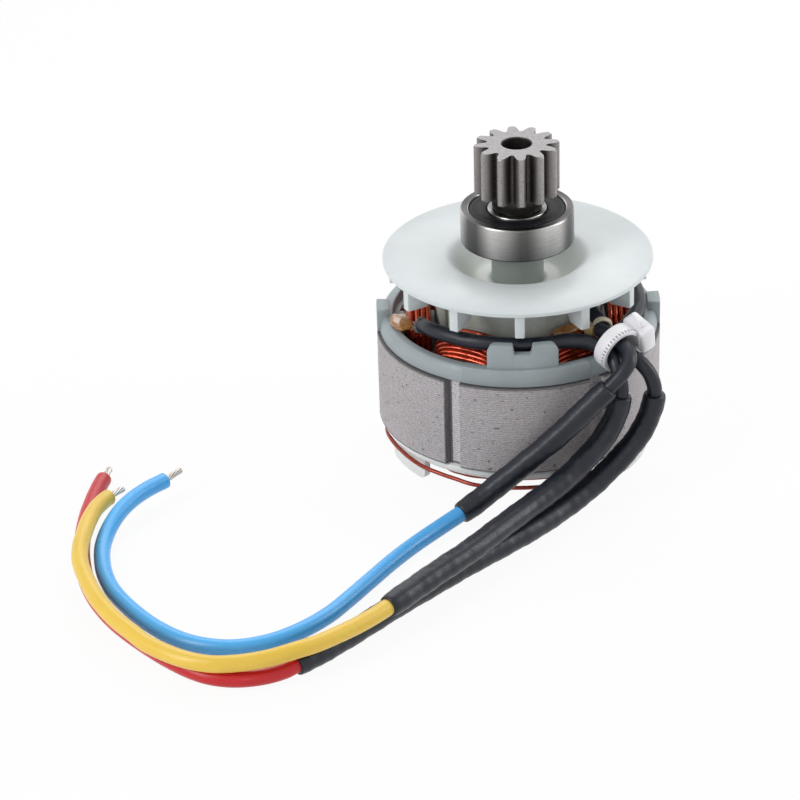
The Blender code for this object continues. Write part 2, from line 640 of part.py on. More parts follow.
def build_rotor(steel, magnet, dark_plastic):
    core_loops = [circle_outline(ROTOR_CORE_RADIUS, COARSE_STEPS), circle_outline(CORE_SHAFT_RADIUS, COARSE_STEPS)]
    for k in range(VENT_COUNT):
        centre = polar(VENT_CIRCLE_RADIUS, 360.0 / VENT_COUNT * k).xy
        core_loops.append(circle_outline(VENT_RADIUS, 8, centre))
    extruded("rotor_core", core_loops, ROTOR_BOTTOM, ROTOR_TOP, steel)
    for k in range(MAGNET_COUNT):
        stations = plain_stations(45.0 + 90.0 * k, MAGNET_HALF_ANGLE, ROTOR_BOTTOM, ROTOR_TOP, 8)
        curved_wall(f"magnet_{k + 1}", ROTOR_RADIUS - MAGNET_THICKNESS, ROTOR_RADIUS, stations, magnet)
    upper = ROTOR_TOP + SEAT_GAP
    lower = ROTOR_BOTTOM - SEAT_GAP
    disc_bore = CORE_SHAFT_RADIUS
    turned(
        "balance_plate_upper",
        ring_profile(disc_bore, PLATE_DISC_RADIUS, upper, upper + PLATE_DISC_THICKNESS), COARSE_STEPS, dark_plastic,
    )
    turned(
        "balance_plate_lower",
        ring_profile(disc_bore, PLATE_DISC_RADIUS, lower - PLATE_DISC_THICKNESS, lower), COARSE_STEPS, dark_plastic,
    )


def build_shaft(steel):
    core = CORE_SHAFT_RADIUS - PRESS_GAP
    upper = UPPER_BORE - PRESS_GAP
    lower = LOWER_BORE - PRESS_GAP
    nose = PINION_BORE_RADIUS - PRESS_GAP
    shoulder = FAN_HUB_BOTTOM - SEAT_GAP
    lower_shoulder = LOWER_TOP + SEAT_GAP
    nose_step = PINION_BOTTOM - SEAT_GAP
    end = PINION_TOP - SHAFT_RECESS
    chamfer = RING_CHAMFER
    profile = [
        (0.0, end), (nose - chamfer, end), (nose, end - chamfer), (nose, nose_step),
        (upper, nose_step), (upper, shoulder), (core, shoulder), (core, lower_shoulder),
        (lower, lower_shoulder), (lower, LOWER_BOTTOM + chamfer), (lower - chamfer, LOWER_BOTTOM), (0.0, LOWER_BOTTOM),
    ]
    return turned("shaft", profile, COARSE_STEPS, steel)


def build_fan(nylon):
    bore = UPPER_BORE
    disc_bottom = FAN_TOP - FAN_DISC_THICKNESS
    floor_top = FAN_TOP - FAN_WELL_DEPTH
    floor_bottom = floor_top - FAN_DISC_THICKNESS
    slope = (FAN_WELL_RADIUS - FAN_WELL_FLOOR_RADIUS) / 4
    profile = [
        (FAN_RADIUS, FAN_TOP), (FAN_RADIUS, disc_bottom),
        (FAN_WELL_RADIUS + FAN_DISC_THICKNESS / 2, disc_bottom),
        (FAN_WELL_FLOOR_RADIUS + 3 * slope + FAN_DISC_THICKNESS / 2, disc_bottom - FAN_WELL_DEPTH / 6),
        (FAN_WELL_FLOOR_RADIUS + slope + FAN_DISC_THICKNESS / 2, floor_top - FAN_DISC_THICKNESS / 4),
        (FAN_WELL_FLOOR_RADIUS, floor_bottom), (FAN_HUB_RADIUS, floor_bottom),
        (FAN_HUB_RADIUS, FAN_HUB_BOTTOM), (bore, FAN_HUB_BOTTOM), (bore, FAN_HUB_TOP),
        (FAN_HUB_RADIUS, FAN_HUB_TOP), (FAN_HUB_RADIUS, floor_top),
        (FAN_WELL_FLOOR_RADIUS - slope, floor_top), (FAN_WELL_FLOOR_RADIUS, floor_top + FAN_WELL_DEPTH / 12),
        (FAN_WELL_FLOOR_RADIUS + slope, floor_top + FAN_WELL_DEPTH / 4),
        (FAN_WELL_FLOOR_RADIUS + 3 * slope, FAN_TOP - FAN_WELL_DEPTH / 6), (FAN_WELL_RADIUS, FAN_TOP),
    ]
    fan = turned("fan", profile, ROUND_STEPS * 2 // 3, nylon)
    blade_bottom = BLADE_BOTTOM
    blade_profile = [
        (BLADE_RADIUS, FAN_TOP - FAN_DISC_THICKNESS / 2), (BLADE_RADIUS, blade_bottom),
        (BLADE_RADIUS - BLADE_TIP_WIDTH, blade_bottom),
        (BLADE_RADIUS - BLADE_TIP_WIDTH - BLADE_SLOPE_WIDTH, disc_bottom),
        (BLADE_RADIUS - BLADE_TIP_WIDTH - BLADE_SLOPE_WIDTH, FAN_TOP - FAN_DISC_THICKNESS / 2),
    ]
    blades = [
        radial_prism("blade", blade_profile, BLADE_THICKNESS, BLADE_TURN + 360.0 / BLADE_COUNT * k, nylon)
        for k in range(BLADE_COUNT)
    ]
    return join_all(fan, blades)


def build_bearing(name, bore, inner_wall, outside, outer_wall, width, race_depth, bottom, materials):
    steel, rubber = materials
    top = bottom + width
    middle = bottom + width / 2
    inner_ring_radius = bore + inner_wall
    outer_land = outside - outer_wall
    ball_circle = (inner_ring_radius + outer_land) / 2
    ball = (outer_land - inner_ring_radius) / 2 + race_depth
    race_half = 1.1 * math.sqrt((ball + BALL_PLAY) ** 2 - (outer_land - ball_circle) ** 2)
    race_floor_half = ball * RACE_SHARE
    inner_floor = ball_circle - ball - BALL_PLAY
    outer_floor = (ball_circle + ball + BALL_PLAY) / math.cos(math.pi / FINE_STEPS)
    seat_radius = outer_land + SEAL_SEAT
    seat_depth = SEAL_RECESS + SEAL_THICKNESS + SEAT_GAP
    outer_profile = [
        (outside - RING_CHAMFER, bottom), (outside, bottom + RING_CHAMFER), (outside, top - RING_CHAMFER),
        (outside - RING_CHAMFER, top), (seat_radius, top), (seat_radius, top - seat_depth),
        (outer_land, top - seat_depth), (outer_land, middle + race_half),
        (outer_floor, middle + race_floor_half), (outer_floor, middle - race_floor_half),
        (outer_land, middle - race_half), (outer_land, bottom + seat_depth), (seat_radius, bottom + seat_depth),
        (seat_radius, bottom),
    ]
    inner_profile = [
        (bore, bottom), (inner_ring_radius, bottom), (inner_ring_radius, middle - race_half),
        (inner_floor, middle - race_floor_half), (inner_floor, middle + race_floor_half),
        (inner_ring_radius, middle + race_half), (inner_ring_radius, top), (bore, top),
    ]
    turned(f"{name}_outer_ring", outer_profile, FINE_STEPS, steel)
    turned(f"{name}_inner_ring", inner_profile, COARSE_STEPS, steel)
    seal_inner = inner_ring_radius + SEAL_RECESS
    seal_outer = seat_radius - PRESS_GAP
    for side, low in (("upper", top - SEAL_RECESS - SEAL_THICKNESS), ("lower", bottom + SEAL_RECESS)):
        seal = ring_profile(seal_inner, seal_outer, low, low + SEAL_THICKNESS)
        turned(f"{name}_seal_{side}", seal, FINE_STEPS, rubber)
    cage_profile = ring_profile(
        ball_circle - CAGE_THICKNESS / 2, ball_circle + CAGE_THICKNESS / 2,
        middle - CAGE_HEIGHT / 2, middle + CAGE_HEIGHT / 2,
    )
    cage = turned(f"{name}_cage", cage_profile, BALL_COUNT * 4, steel)
    balls = []
    for k in range(BALL_COUNT):
        builder = bmesh.new()
        bmesh.ops.create_icosphere(builder, subdivisions=1, radius=ball)
        centre = polar(ball_circle, 360.0 / BALL_COUNT * (k + 0.13), middle)
        bmesh.ops.translate(builder, verts=builder.verts, vec=centre)
        balls.append(finish_object("ball", builder, steel))
    return join_all(cage, balls)


def pinion_outline():
    # Tooth half angles at root, pitch and tip, with straight flanks between them.
    pitch = 360.0 / PINION_TEETH
    levels = [
        (PINION_ROOT_RADIUS, 0.40), (PINION_ROOT_RADIUS + 0.0004, 0.335),
        (PINION_PITCH_RADIUS, 0.25), (PINION_TIP_RADIUS - 0.0003, 0.135), (PINION_TIP_RADIUS, 0.075),
    ]
    outline = []
    for k in range(PINION_TEETH):
        centre = pitch * k + 4.0
        for radius, share in levels:
            outline.append(polar(radius, centre - share * pitch).xy)
        for radius, share in reversed(levels):
            outline.append(polar(radius, centre + share * pitch).xy)
    return outline


def build_nose(steel, dark_steel):
    spacer_bore = UPPER_BORE
    turned(
        "spacer", ring_profile(spacer_bore, SPACER_RADIUS, UPPER_TOP + SEAT_GAP, PINION_BOTTOM - SEAT_GAP),
        COARSE_STEPS, dark_steel,
    )
    bore = circle_outline(PINION_BORE_RADIUS, COARSE_STEPS)
    pinion = extruded("pinion", [pinion_outline(), bore], PINION_BOTTOM, PINION_TOP, steel)
    wide = PINION_BORE_RADIUS + PINION_BORE_CHAMFER
    reach = PINION_BORE_CHAMFER
    profile = [(0.0, PINION_TOP + reach), (wide + reach, PINION_TOP + reach), (PINION_BORE_RADIUS - reach, PINION_TOP - 2 * reach),
               (0.0, PINION_TOP - 2 * reach)]
    apply_boolean(pinion, turned("countersink", profile, COARSE_STEPS, steel), "DIFFERENCE")
    return pinion


def smooth_curve(points):
    # Twelve steps from each point to the next, on a smooth curve through them all.
    ends = [2 * points[0] - points[1]] + points + [2 * points[-1] - points[-2]]
    dense = []
    for k in range(1, len(ends) - 2):
        before, start, stop, after = ends[k - 1:k + 3]
        for step in range(12):
            t = step / 12
            dense.append(0.5 * (
                2 * start + (stop - before) * t
                + (2 * before - 5 * start + 4 * stop - after) * t ** 2
                + (3 * start - before - 3 * stop + after) * t ** 3
            ))
    dense.append(points[-1])
    return dense


def tube_points(dense, diameter):
    # A point where the curve has turned by a set angle, or after a set number of diameters.
    kept = [dense[0]]
    turned_by = 0.0
    for before, here, after in zip(dense, dense[1:], dense[2:]):
        turned_by += (here - before).angle(after - here)
        far = (here - kept[-1]).length > diameter * LEAD_STEP
        if (turned_by > math.radians(LEAD_TURN) or far) and (dense[-1] - here).length > diameter / 2:
            kept.append(here)
            turned_by = 0.0
    return kept + [dense[-1]]


def square_ends(points, first_direction, last_direction, reach, cut_start):
    # Short straight ends, so that two tubes which meet face each other squarely.
    start = points[0] + first_direction * (CORD_GAP if cut_start else 0.0)
    end = points[-1]
    return [start, start + first_direction * reach] + points[1:-1] + [end - last_direction * reach, end]


def build_tube(name, points, diameter, material):
    curve = bpy.data.curves.new(name, "CURVE")
    curve.dimensions = "3D"
    curve.bevel_depth = diameter / 2
    curve.bevel_resolution = 2
    curve.use_fill_caps = True
    spline = curve.splines.new("POLY")
    spline.points.add(len(points) - 1)
    for knot, point in zip(spline.points, points):
        knot.co = (*point, 1.0)
    curve.materials.append(material)
    item = bpy.data.objects.new(name, curve)
    bpy.context.scene.collection.objects.link(item)
    return item


def build_leads(black, colours, tinned):
    blue, yellow, red = colours
    sets = [
        ("blue", BLUE_INNER_ROUTE, BLUE_SLEEVE_ROUTE, BLUE_LEAD_ROUTE, BLUE_CORE_ROUTE, blue),
        ("yellow", YELLOW_INNER_ROUTE, YELLOW_SLEEVE_ROUTE, YELLOW_LEAD_ROUTE, YELLOW_CORE_ROUTE, yellow),
        ("red", RED_INNER_ROUTE, RED_SLEEVE_ROUTE, RED_LEAD_ROUTE, RED_CORE_ROUTE, red),
    ]
    for name, inner_route, sleeve_route, lead_route, core_route, colour in sets:
        route = inner_route + sleeve_route + lead_route + core_route
        dense = smooth_curve([Vector(point) * 0.001 for point in route])
        stretches = [
            ("inner_sleeve", len(inner_route) - 1, THIN_SLEEVE_DIAMETER, black),
            ("outer_sleeve", len(sleeve_route), SLEEVE_DIAMETER, black),
            ("lead", len(lead_route), LEAD_DIAMETER, colour),
            ("core_end", len(core_route), CORE_DIAMETER, tinned),
        ]
        first = 0
        for kind, count, diameter, material in stretches:
            last = first + 12 * count
            before = dense[max(first - 1, 0)]
            after = dense[min(last + 1, len(dense) - 1)]
            first_direction = (dense[first + 1] - before).normalized()
            last_direction = (after - dense[last - 1]).normalized()
            points = tube_points(dense[first:last + 1], diameter)
            points = square_ends(points, first_direction, last_direction, diameter / 4, first > 0)
            build_tube(f"{name}_{kind}", points, diameter, material)
            first = last


def build_tie(nylon):
    # The strap's loop round the three thin sleeves, with the square head on its outer side.
    outer = TIE_INNER_RADIUS + TIE_STRAP_THICKNESS
    half = TIE_STRAP_WIDTH / 2
    centre = polar(STACK_RADIUS + TIE_REACH, TIE_PLACE_AZIMUTH, STACK_TOP + TIE_RISE)
    lie = Matrix.Translation(centre) @ turn_to(TIE_AZIMUTH) \
        @ Matrix.Rotation(math.radians(90.0 + TIE_TILT), 4, "Y")
    builder = bmesh.new()
    add_turned(builder, ring_profile(TIE_INNER_RADIUS, outer, -half, half), 24, lie)
    strap = finish_object("cable_tie", builder, nylon)
    builder = bmesh.new()
    bmesh.ops.create_cube(builder, size=1.0)
    bmesh.ops.scale(builder, vec=Vector(TIE_HEAD), verts=builder.verts)
    bmesh.ops.bevel(
        builder, geom=builder.edges[:], offset=0.0004, segments=1, affect="EDGES", clamp_overlap=True,
    )
    reach = TIE_INNER_RADIUS + TIE_HEAD[2] / 2
    angle = math.radians(TIE_HEAD_TURN)
    head_place = lie @ Matrix.Rotation(angle, 4, "Z") @ Matrix.Translation((-reach, 0.0, 0.0)) \
        @ Matrix.Rotation(math.radians(90.0), 4, "Y")
    bmesh.ops.transform(builder, matrix=head_place, verts=builder.verts)
    head = finish_object("head", builder, nylon, smooth=False)
    return join_all(strap, [head])


def build_varnish(amber):
    # Hardened drops where the lead ends leave the windings.
    for name, (inset, azimuth, rise, radii, turn) in (
        ("varnish_left", VARNISH_LEFT), ("varnish_right", VARNISH_RIGHT),
    ):
        builder = bmesh.new()
        bmesh.ops.create_icosphere(builder, subdivisions=2, radius=1.0)
        bmesh.ops.scale(builder, vec=Vector(radii), verts=builder.verts)
        place = Matrix.Translation(polar(STACK_RADIUS - inset, azimuth, STACK_TOP + rise)) @ turn_to(turn)
        bmesh.ops.transform(builder, matrix=place, verts=builder.verts)
        finish_object(name, builder, amber)


def build_motor():
    lamination = surface("lamination_steel", (0.46, 0.44, 0.43), 0.5, 0.7)
    nylon = surface("natural_nylon", (0.80, 0.86, 0.82), 0.45)
    insulator = surface("insulator_nylon", (0.62, 0.67, 0.65), 0.5)
    copper = surface("enamelled_copper", (0.62, 0.16, 0.06), 0.3, 0.6)
    magnet = surface("magnet_nickel", (0.30, 0.30, 0.31), 0.4, 0.8)
    brass = surface("balance_brass", (0.60, 0.48, 0.24), 0.4, 0.9)
    ground_steel = surface("ground_steel", (0.56, 0.54, 0.52), 0.28, 1.0)
    dark_steel = surface("dark_steel", (0.12, 0.12, 0.12), 0.4, 0.8)
    rubber = surface("seal_rubber", (0.03, 0.03, 0.035), 0.6)
    black = surface("shrink_sleeve", (0.03, 0.035, 0.04), 0.5)
    blue = surface("blue_insulation", (0.05, 0.30, 0.72), 0.35)
    yellow = surface("yellow_insulation", (0.86, 0.62, 0.12), 0.4)
    red = surface("red_insulation", (0.72, 0.04, 0.06), 0.4)
    tinned = surface("tinned_copper", (0.58, 0.57, 0.55), 0.35, 0.9)
    amber = surface("varnish", (0.70, 0.45, 0.14), 0.25)

    build_stack(lamination)
    build_top_insulator(insulator)
    build_bottom_insulator(insulator)
    for number, azimuth in enumerate(tooth_azimuths(), start=1):
        build_coil(number, azimuth, copper)
    for number, route in enumerate(JUMPER_ROUTES, start=1):
        places = [
            polar(BAND_RADIUS - inset * 0.001, azimuth, COVER_BOTTOM - depth * 0.001)
            for azimuth, inset, depth in route
        ]
        points = tube_points(smooth_curve(places), JUMPER_DIAMETER)
        build_tube(f"jumper_wire_{number}", points, JUMPER_DIAMETER, copper)
    build_varnish(amber)

    build_shaft(ground_steel)
    build_rotor(lamination, magnet, brass)
    build_fan(nylon)
    bearing_materials = (ground_steel, rubber)
    build_bearing(
        "upper_bearing", UPPER_BORE, UPPER_INNER_WALL, UPPER_OUTSIDE, UPPER_OUTER_WALL,
        UPPER_WIDTH, UPPER_RACE_DEPTH, UPPER_BOTTOM, bearing_materials,
    )
    build_bearing(
        "lower_bearing", LOWER_BORE, LOWER_INNER_WALL, LOWER_OUTSIDE, LOWER_OUTER_WALL,
        LOWER_WIDTH, LOWER_RACE_DEPTH, LOWER_BOTTOM, bearing_materials,
    )
    build_nose(ground_steel, dark_steel)

    build_tie(nylon)
    build_leads(black, (blue, yellow, red), tinned)


clear_scene()
build_motor()
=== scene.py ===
import random
from math import asin, cos, degrees, exp, pi, radians, sin

import bmesh
import bpy
from mathutils import Matrix, Vector


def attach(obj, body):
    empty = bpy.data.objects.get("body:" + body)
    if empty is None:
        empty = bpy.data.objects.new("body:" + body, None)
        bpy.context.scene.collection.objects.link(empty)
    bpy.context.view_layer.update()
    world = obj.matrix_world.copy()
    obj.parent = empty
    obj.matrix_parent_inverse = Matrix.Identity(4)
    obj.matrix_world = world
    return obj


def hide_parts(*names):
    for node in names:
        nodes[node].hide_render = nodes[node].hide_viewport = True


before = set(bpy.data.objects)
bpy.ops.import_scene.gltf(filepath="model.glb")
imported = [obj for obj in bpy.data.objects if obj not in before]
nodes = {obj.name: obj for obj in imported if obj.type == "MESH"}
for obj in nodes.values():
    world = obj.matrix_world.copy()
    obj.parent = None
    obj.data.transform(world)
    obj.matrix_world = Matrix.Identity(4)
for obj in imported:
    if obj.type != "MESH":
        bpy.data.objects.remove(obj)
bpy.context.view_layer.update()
mm = 0.001
print("frame loaded")

# Camera at the photograph's angle, its place in millimetres
view = {"place": (-24.67, -582.88, 327.54), "right": (0.99957, -0.01405, -0.0257),
        "up": (0.02929, 0.47951, 0.87705), "forward": (0.0, 0.87742, -0.47972),
        "lens": 144.0, "sensor": 36.0, "nearest": 0.01}


def addToScene(name, data):
    item = bpy.data.objects.new(name, data)
    bpy.context.scene.collection.objects.link(item)
    return item


def makeCamera():
    data = bpy.data.cameras.new("camera")
    data.lens, data.sensor_width, data.clip_start = view["lens"], view["sensor"], view["nearest"]
    camera = addToScene("camera", data)
    columns = (Vector(view["right"]), Vector(view["up"]), -Vector(view["forward"]))
    turn = Matrix(columns).transposed().to_4x4()
    camera.matrix_world = Matrix.Translation(Vector(view["place"]) * mm) @ turn
    bpy.context.scene.camera = camera


makeCamera()


# Materials, with lengths in metres
def setSockets(shader, values):
    for name, value in values.items():
        shader.inputs[name].default_value = value


def startMaterial(name, colour, roughness, metallic=0.0):
    material = bpy.data.materials.new(name)
    material.use_nodes = True
    tree = material.node_tree
    shader = tree.nodes["Principled BSDF"]
    setSockets(shader, {"Base Color": (*colour, 1.0), "Roughness": roughness, "Metallic": metallic})
    return material, tree, shader


def addNode(tree, kind, inputs, **settings):
    # A shader node with its settings, and a link or a value on each input.
    node = tree.nodes.new(f"ShaderNode{kind}")
    for name, value in settings.items():
        setattr(node, name, value)
    for key, value in inputs.items():
        socket = node.inputs[key]
        if isinstance(value, bpy.types.NodeSocket):
            tree.links.new(value, socket)
        else:
            socket.default_value = (*value, 1.0) if socket.type == "RGBA" else value
    return node


def placeVector(tree, stretch=(1.0, 1.0, 1.0)):
    place = addNode(tree, "TexCoord", {}).outputs["Object"]
    return addNode(tree, "Mapping", {"Scale": stretch, "Vector": place}).outputs["Vector"]


def noiseValue(tree, scale, detail=3.0, stretch=(1.0, 1.0, 1.0)):
    inputs = {"Scale": scale, "Detail": detail, "Vector": placeVector(tree, stretch)}
    return addNode(tree, "TexNoise", inputs).outputs["Fac"]


def remap(tree, value, low, high, first, last):
    inputs = {"Value": value, "From Min": low, "From Max": high, "To Min": first, "To Max": last}
    return addNode(tree, "MapRange", inputs).outputs["Result"]


def calculate(tree, operation, first, second=0.0):
    return addNode(tree, "Math", {0: first, 1: second}, operation=operation).outputs[0]


def mixColour(tree, share, first, second):
    return addNode(tree, "Mix", {0: share, 6: first, 7: second}, data_type="RGBA").outputs[2]


def layered(tree, base, layers):
    # Each colour's share over the base goes from first to last as its value goes from low to high.
    for value, low, high, first, last, colour in layers:
        base = mixColour(tree, remap(tree, value, low, high, first, last), base, colour)
    return base


def addBump(tree, shader, height, depth, strength=1.0):
    bump = addNode(tree, "Bump", {"Strength": strength, "Distance": depth, "Height": height})
    last = shader.inputs["Normal"].links
    if last:
        tree.links.new(last[0].from_socket, bump.inputs["Normal"])
    tree.links.new(bump.outputs["Normal"], shader.inputs["Normal"])


def addSurface(tree, shader, colour, grain, roughRange, depth, strength=1.0):
    # Links the colour, and a grain that changes the roughness and the height.
    tree.links.new(colour, shader.inputs["Base Color"])
    tree.links.new(remap(tree, grain, *roughRange), shader.inputs["Roughness"])
    addBump(tree, shader, grain, depth, strength)


def softInside(shader, weight, scale):
    setSockets(shader, {"Subsurface Weight": weight, "Subsurface Radius": (0.9, 1.0, 0.95),
                        "Subsurface Scale": scale})


def varied(name, colour, shade, roughness, metallic=0.0, patch=300.0, grain=2500.0, depth=0.00001,
           spread=0.08, soft=0.0, coat=0.0, more=None):
    # A surface with slow colour change, changing roughness and a fine grain.
    material, tree, shader = startMaterial(name, colour, roughness, metallic)
    base = layered(tree, colour, [(noiseValue(tree, patch, 4.0), 0.32, 0.68, 0.0, 1.0, shade)])
    roughRange = (0.3, 0.7, roughness - spread, roughness + spread)
    addSurface(tree, shader, base, noiseValue(tree, grain), roughRange, depth)
    if soft:
        softInside(shader, soft, 0.0018)
    if coat:
        setSockets(shader, {"Coat Weight": coat, "Coat Roughness": 0.15})
    setSockets(shader, more or {})
    return material


def objectHeight(tree):
    return addNode(tree, "SeparateXYZ", {"Vector": placeVector(tree)}).outputs["Z"]


def axisDistance(tree):
    # Distance from the rotor's axis.
    flat = placeVector(tree, (1.0, 1.0, 0.0))
    return addNode(tree, "VectorMath", {0: flat}, operation="LENGTH").outputs["Value"]


def facingUp(tree):
    normal = addNode(tree, "NewGeometry", {}).outputs["Normal"]
    return addNode(tree, "SeparateXYZ", {"Vector": normal}).outputs["Z"]


def laminated(name, light, dark):
    # Edges of thin steel sheets: level lines, a fine grain, short stains and dark specks, with painted shade
    # along the top and bottom rims.
    look = {"sheet": 0.0005, "bottom": 0.0071, "top": 0.0261, "rim": 0.00038, "fade": 0.0001,
            "specks": (0.07, 0.06, 0.065), "lines": (0.16, 0.15, 0.155), "edges": (0.09, 0.09, 0.095)}
    material, tree, shader = startMaterial(name, light, 0.5, 0.15)
    grain = noiseValue(tree, 2600.0, 3.0, (1.0, 1.0, 2.0))
    streaks = noiseValue(tree, 900.0, 3.0, (1.0, 1.0, 4.5))
    specks = noiseValue(tree, 900.0, 4.0, (1.0, 1.0, 1.3))
    # A wave is 0.314 / scale long.
    inputs = {"Scale": 0.314 / look["sheet"], "Distortion": 0.0, "Vector": placeVector(tree)}
    lines = addNode(tree, "TexWave", inputs, bands_direction="Z").outputs["Fac"]
    height = objectHeight(tree)
    upper, lower = look["top"] - look["rim"], look["bottom"] + look["rim"]
    base = layered(tree, light, [
        (grain, 0.40, 0.64, 0.0, 0.62, dark), (streaks, 0.52, 0.70, 0.0, 0.35, dark),
        (noiseValue(tree, 60.0), 0.45, 0.75, 0.0, 0.22, dark), (specks, 0.65, 0.69, 0.0, 0.8, look["specks"]),
        (lines, 0.0, 0.6, 0.5, 0.0, look["lines"]),
        # Painted shade along the top and bottom rims of the stack
        (height, upper, upper + look["fade"], 0.0, 0.75, look["edges"]),
        (height, lower - look["fade"], lower, 0.75, 0.0, look["edges"])])
    addBump(tree, shader, lines, 0.00003, 0.5)
    addSurface(tree, shader, base, grain, (0.35, 0.65, 0.42, 0.66), 0.00002, 0.6)
    return material


def reflectionBands(tree, count, start):
    # Painted reflection: soft light and dark bands round the axis, standing in for lamps and dark surroundings
    # mirrored in ground steel.
    place = addNode(tree, "TexCoord", {}).outputs["Object"]
    around = addNode(tree, "TexGradient", {"Vector": place}, gradient_type="RADIAL").outputs["Fac"]
    turn = calculate(tree, "MULTIPLY", around, 2 * pi * count)
    wave = calculate(tree, "COSINE", calculate(tree, "SUBTRACT", turn, radians((start + 90.0) * count)))
    uneven = noiseValue(tree, 60.0, 2.0, (1.0, 1.0, 0.2))
    return calculate(tree, "ADD", wave, calculate(tree, "MULTIPLY", uneven, 1.2))


def groundSteel(name, shadeHeights=None):
    # Ground steel: fine rings of satin grain over painted reflection bands. A ring's faces are painted dark as
    # painted shade, and painted shade darkens its side downwards between the two heights that are given.
    plain = (0.22, 0.215, 0.21)
    material, tree, shader = startMaterial(name, plain, 0.3, 1.0)
    grain = noiseValue(tree, 420.0, 4.0, (0.5, 0.5, 16.0))
    # Painted reflection bands, and a fine grain
    layers = [(reflectionBands(tree, 6, 35.0), -0.35, 1.5, 0.0, 1.0, (0.60, 0.59, 0.575)),
              (grain, 0.4, 0.65, 0.0, 0.25, (0.12, 0.117, 0.113))]
    up = facingUp(tree)
    if shadeHeights:
        # Painted shade: dark flat faces, and a side that darkens downwards
        layers += [(up, 0.85, 0.98, 0.0, 0.9, (0.036, 0.035, 0.037)),
                   (up, -0.5, -0.1, 0.85, 0.0, (0.035, 0.034, 0.034)),
                   (objectHeight(tree), *shadeHeights, 0.55, 0.0, (0.06, 0.058, 0.057))]
    else:
        layers.append((up, 0.85, 0.98, 0.0, 1.0, plain))
    base = layered(tree, (0.11, 0.108, 0.106), layers)
    addSurface(tree, shader, base, grain, (0.35, 0.65, 0.26, 0.38), 0.000006, 0.5)
    setSockets(shader, {"Anisotropic": 0.6, "Anisotropic Rotation": 0.25})
    return material


def gearSteel():
    # Sintered gear steel with bright tips and fine pores; the end face is painted a darker tone than the sides,
    # and painted shade darkens the flanks towards the valleys and fills the bore.
    look = {"bore": 0.0031, "boreFade": 0.0001, "valley": 0.0068, "tip": 0.0088}
    material, tree, shader = startMaterial("pinion_steel", (0.42, 0.40, 0.39), 0.42, 0.85)
    side = remap(tree, facingUp(tree), 0.5, 0.9, 1.0, 0.0)
    distance = axisDistance(tree)
    # Painted shade: the sides darken towards the valleys, and the end face takes a darker tone than the sides
    valleyShade = calculate(tree, "MULTIPLY", side, remap(tree, distance, look["valley"], look["tip"], 1.0, 0.0))
    pores = noiseValue(tree, 2600.0)
    face = mixColour(tree, side, (0.235, 0.228, 0.232), (0.37, 0.35, 0.345))
    base = layered(tree, mixColour(tree, valleyShade, face, (0.06, 0.053, 0.048)), [
        (pores, 0.5, 0.68, 0.0, 0.5, (0.16, 0.145, 0.14)),
        # Painted shade inside the bore
        (distance, look["bore"], look["bore"] + look["boreFade"], 1.0, 0.0, (0.06, 0.056, 0.053))])
    addSurface(tree, shader, base, pores, (0.3, 0.7, 0.34, 0.55), 0.00002, 0.7)
    return material


def milkyNylon():
    # Milky fan nylon; the dished well is painted lighter as painted light, and the hub is painted darker as
    # painted shade under the bearing, where the steel shaft also shows through it.
    look = {"pale": (0.72, 0.765, 0.775), "shade": (0.67, 0.72, 0.73), "speck": (0.50, 0.54, 0.53),
            "hub": (0.32, 0.36, 0.34), "well": (0.92, 0.95, 0.88)}
    material, tree, shader = startMaterial("natural_nylon", look["pale"], 0.36)
    distance = axisDistance(tree)
    base = layered(tree, look["pale"], [
        (noiseValue(tree, 90.0, 4.0), 0.32, 0.68, 0.0, 1.0, look["shade"]),
        (noiseValue(tree, 1300.0, 1.0), 0.72, 0.78, 0.0, 0.5, look["speck"]),
        # Painted light in the dished well, and painted shade on the hub
        (distance, 0.010, 0.0145, 0.8, 0.0, look["well"]), (distance, 0.0054, 0.0064, 1.0, 0.0, look["hub"])])
    addSurface(tree, shader, base, noiseValue(tree, 1500.0), (0.3, 0.7, 0.30, 0.44), 0.000008)
    softInside(shader, 0.2, 0.0012)
    return material


def stranded():
    # Tinned strands under solder: lengthwise ridges show through.
    tin = (0.56, 0.54, 0.52)
    material, tree, shader = startMaterial("tinned_copper", tin, 0.35, 0.9)
    base = layered(tree, tin, [(noiseValue(tree, 500.0), 0.4, 0.7, 0.0, 0.6, (0.45, 0.36, 0.28))])
    addSurface(tree, shader, base, noiseValue(tree, 1800.0, 4.0), (0.3, 0.7, 0.25, 0.5), 0.00003)
    return material


steelLook = laminated("lamination_steel", (0.61, 0.575, 0.59), (0.26, 0.24, 0.25))
# Lit and shaded copies of the sheet steel, for the painted light and painted shadow on the grooves' two sides
grooveLightLook = laminated("groove_painted_light", (0.80, 0.76, 0.775), (0.38, 0.36, 0.37))
grooveShadeLook = laminated("groove_painted_shadow", (0.20, 0.19, 0.20), (0.10, 0.094, 0.10))
groundLook = groundSteel("ground_steel")
ringLook = groundSteel("ring_steel", (0.0455, 0.0525))
gearLook = gearSteel()
spacerShadeLook = varied("dark_steel", (0.045, 0.042, 0.04), (0.025, 0.024, 0.023), 0.35, 0.7)
magnetLook = varied("magnet_nickel", (0.32, 0.32, 0.33), (0.24, 0.24, 0.25), 0.38, 0.85)
brassLook = varied("balance_brass", (0.58, 0.46, 0.22), (0.48, 0.37, 0.16), 0.35, 0.95)
copperLook = varied("enamelled_copper", (0.62, 0.085, 0.026), (0.30, 0.026, 0.010), 0.22, 0.75, 320.0,
                    1200.0, 0.000008, coat=0.45)
jumperLook = varied("jumper_enamel", (0.34, 0.038, 0.018), (0.24, 0.026, 0.013), 0.28, 0.4, 320.0, 1200.0)
heartShadeLook = varied("coil_painted_shade", (0.10, 0.014, 0.010), (0.05, 0.010, 0.008), 0.5, 0.0, 500.0, 1200.0)
tinLook = stranded()
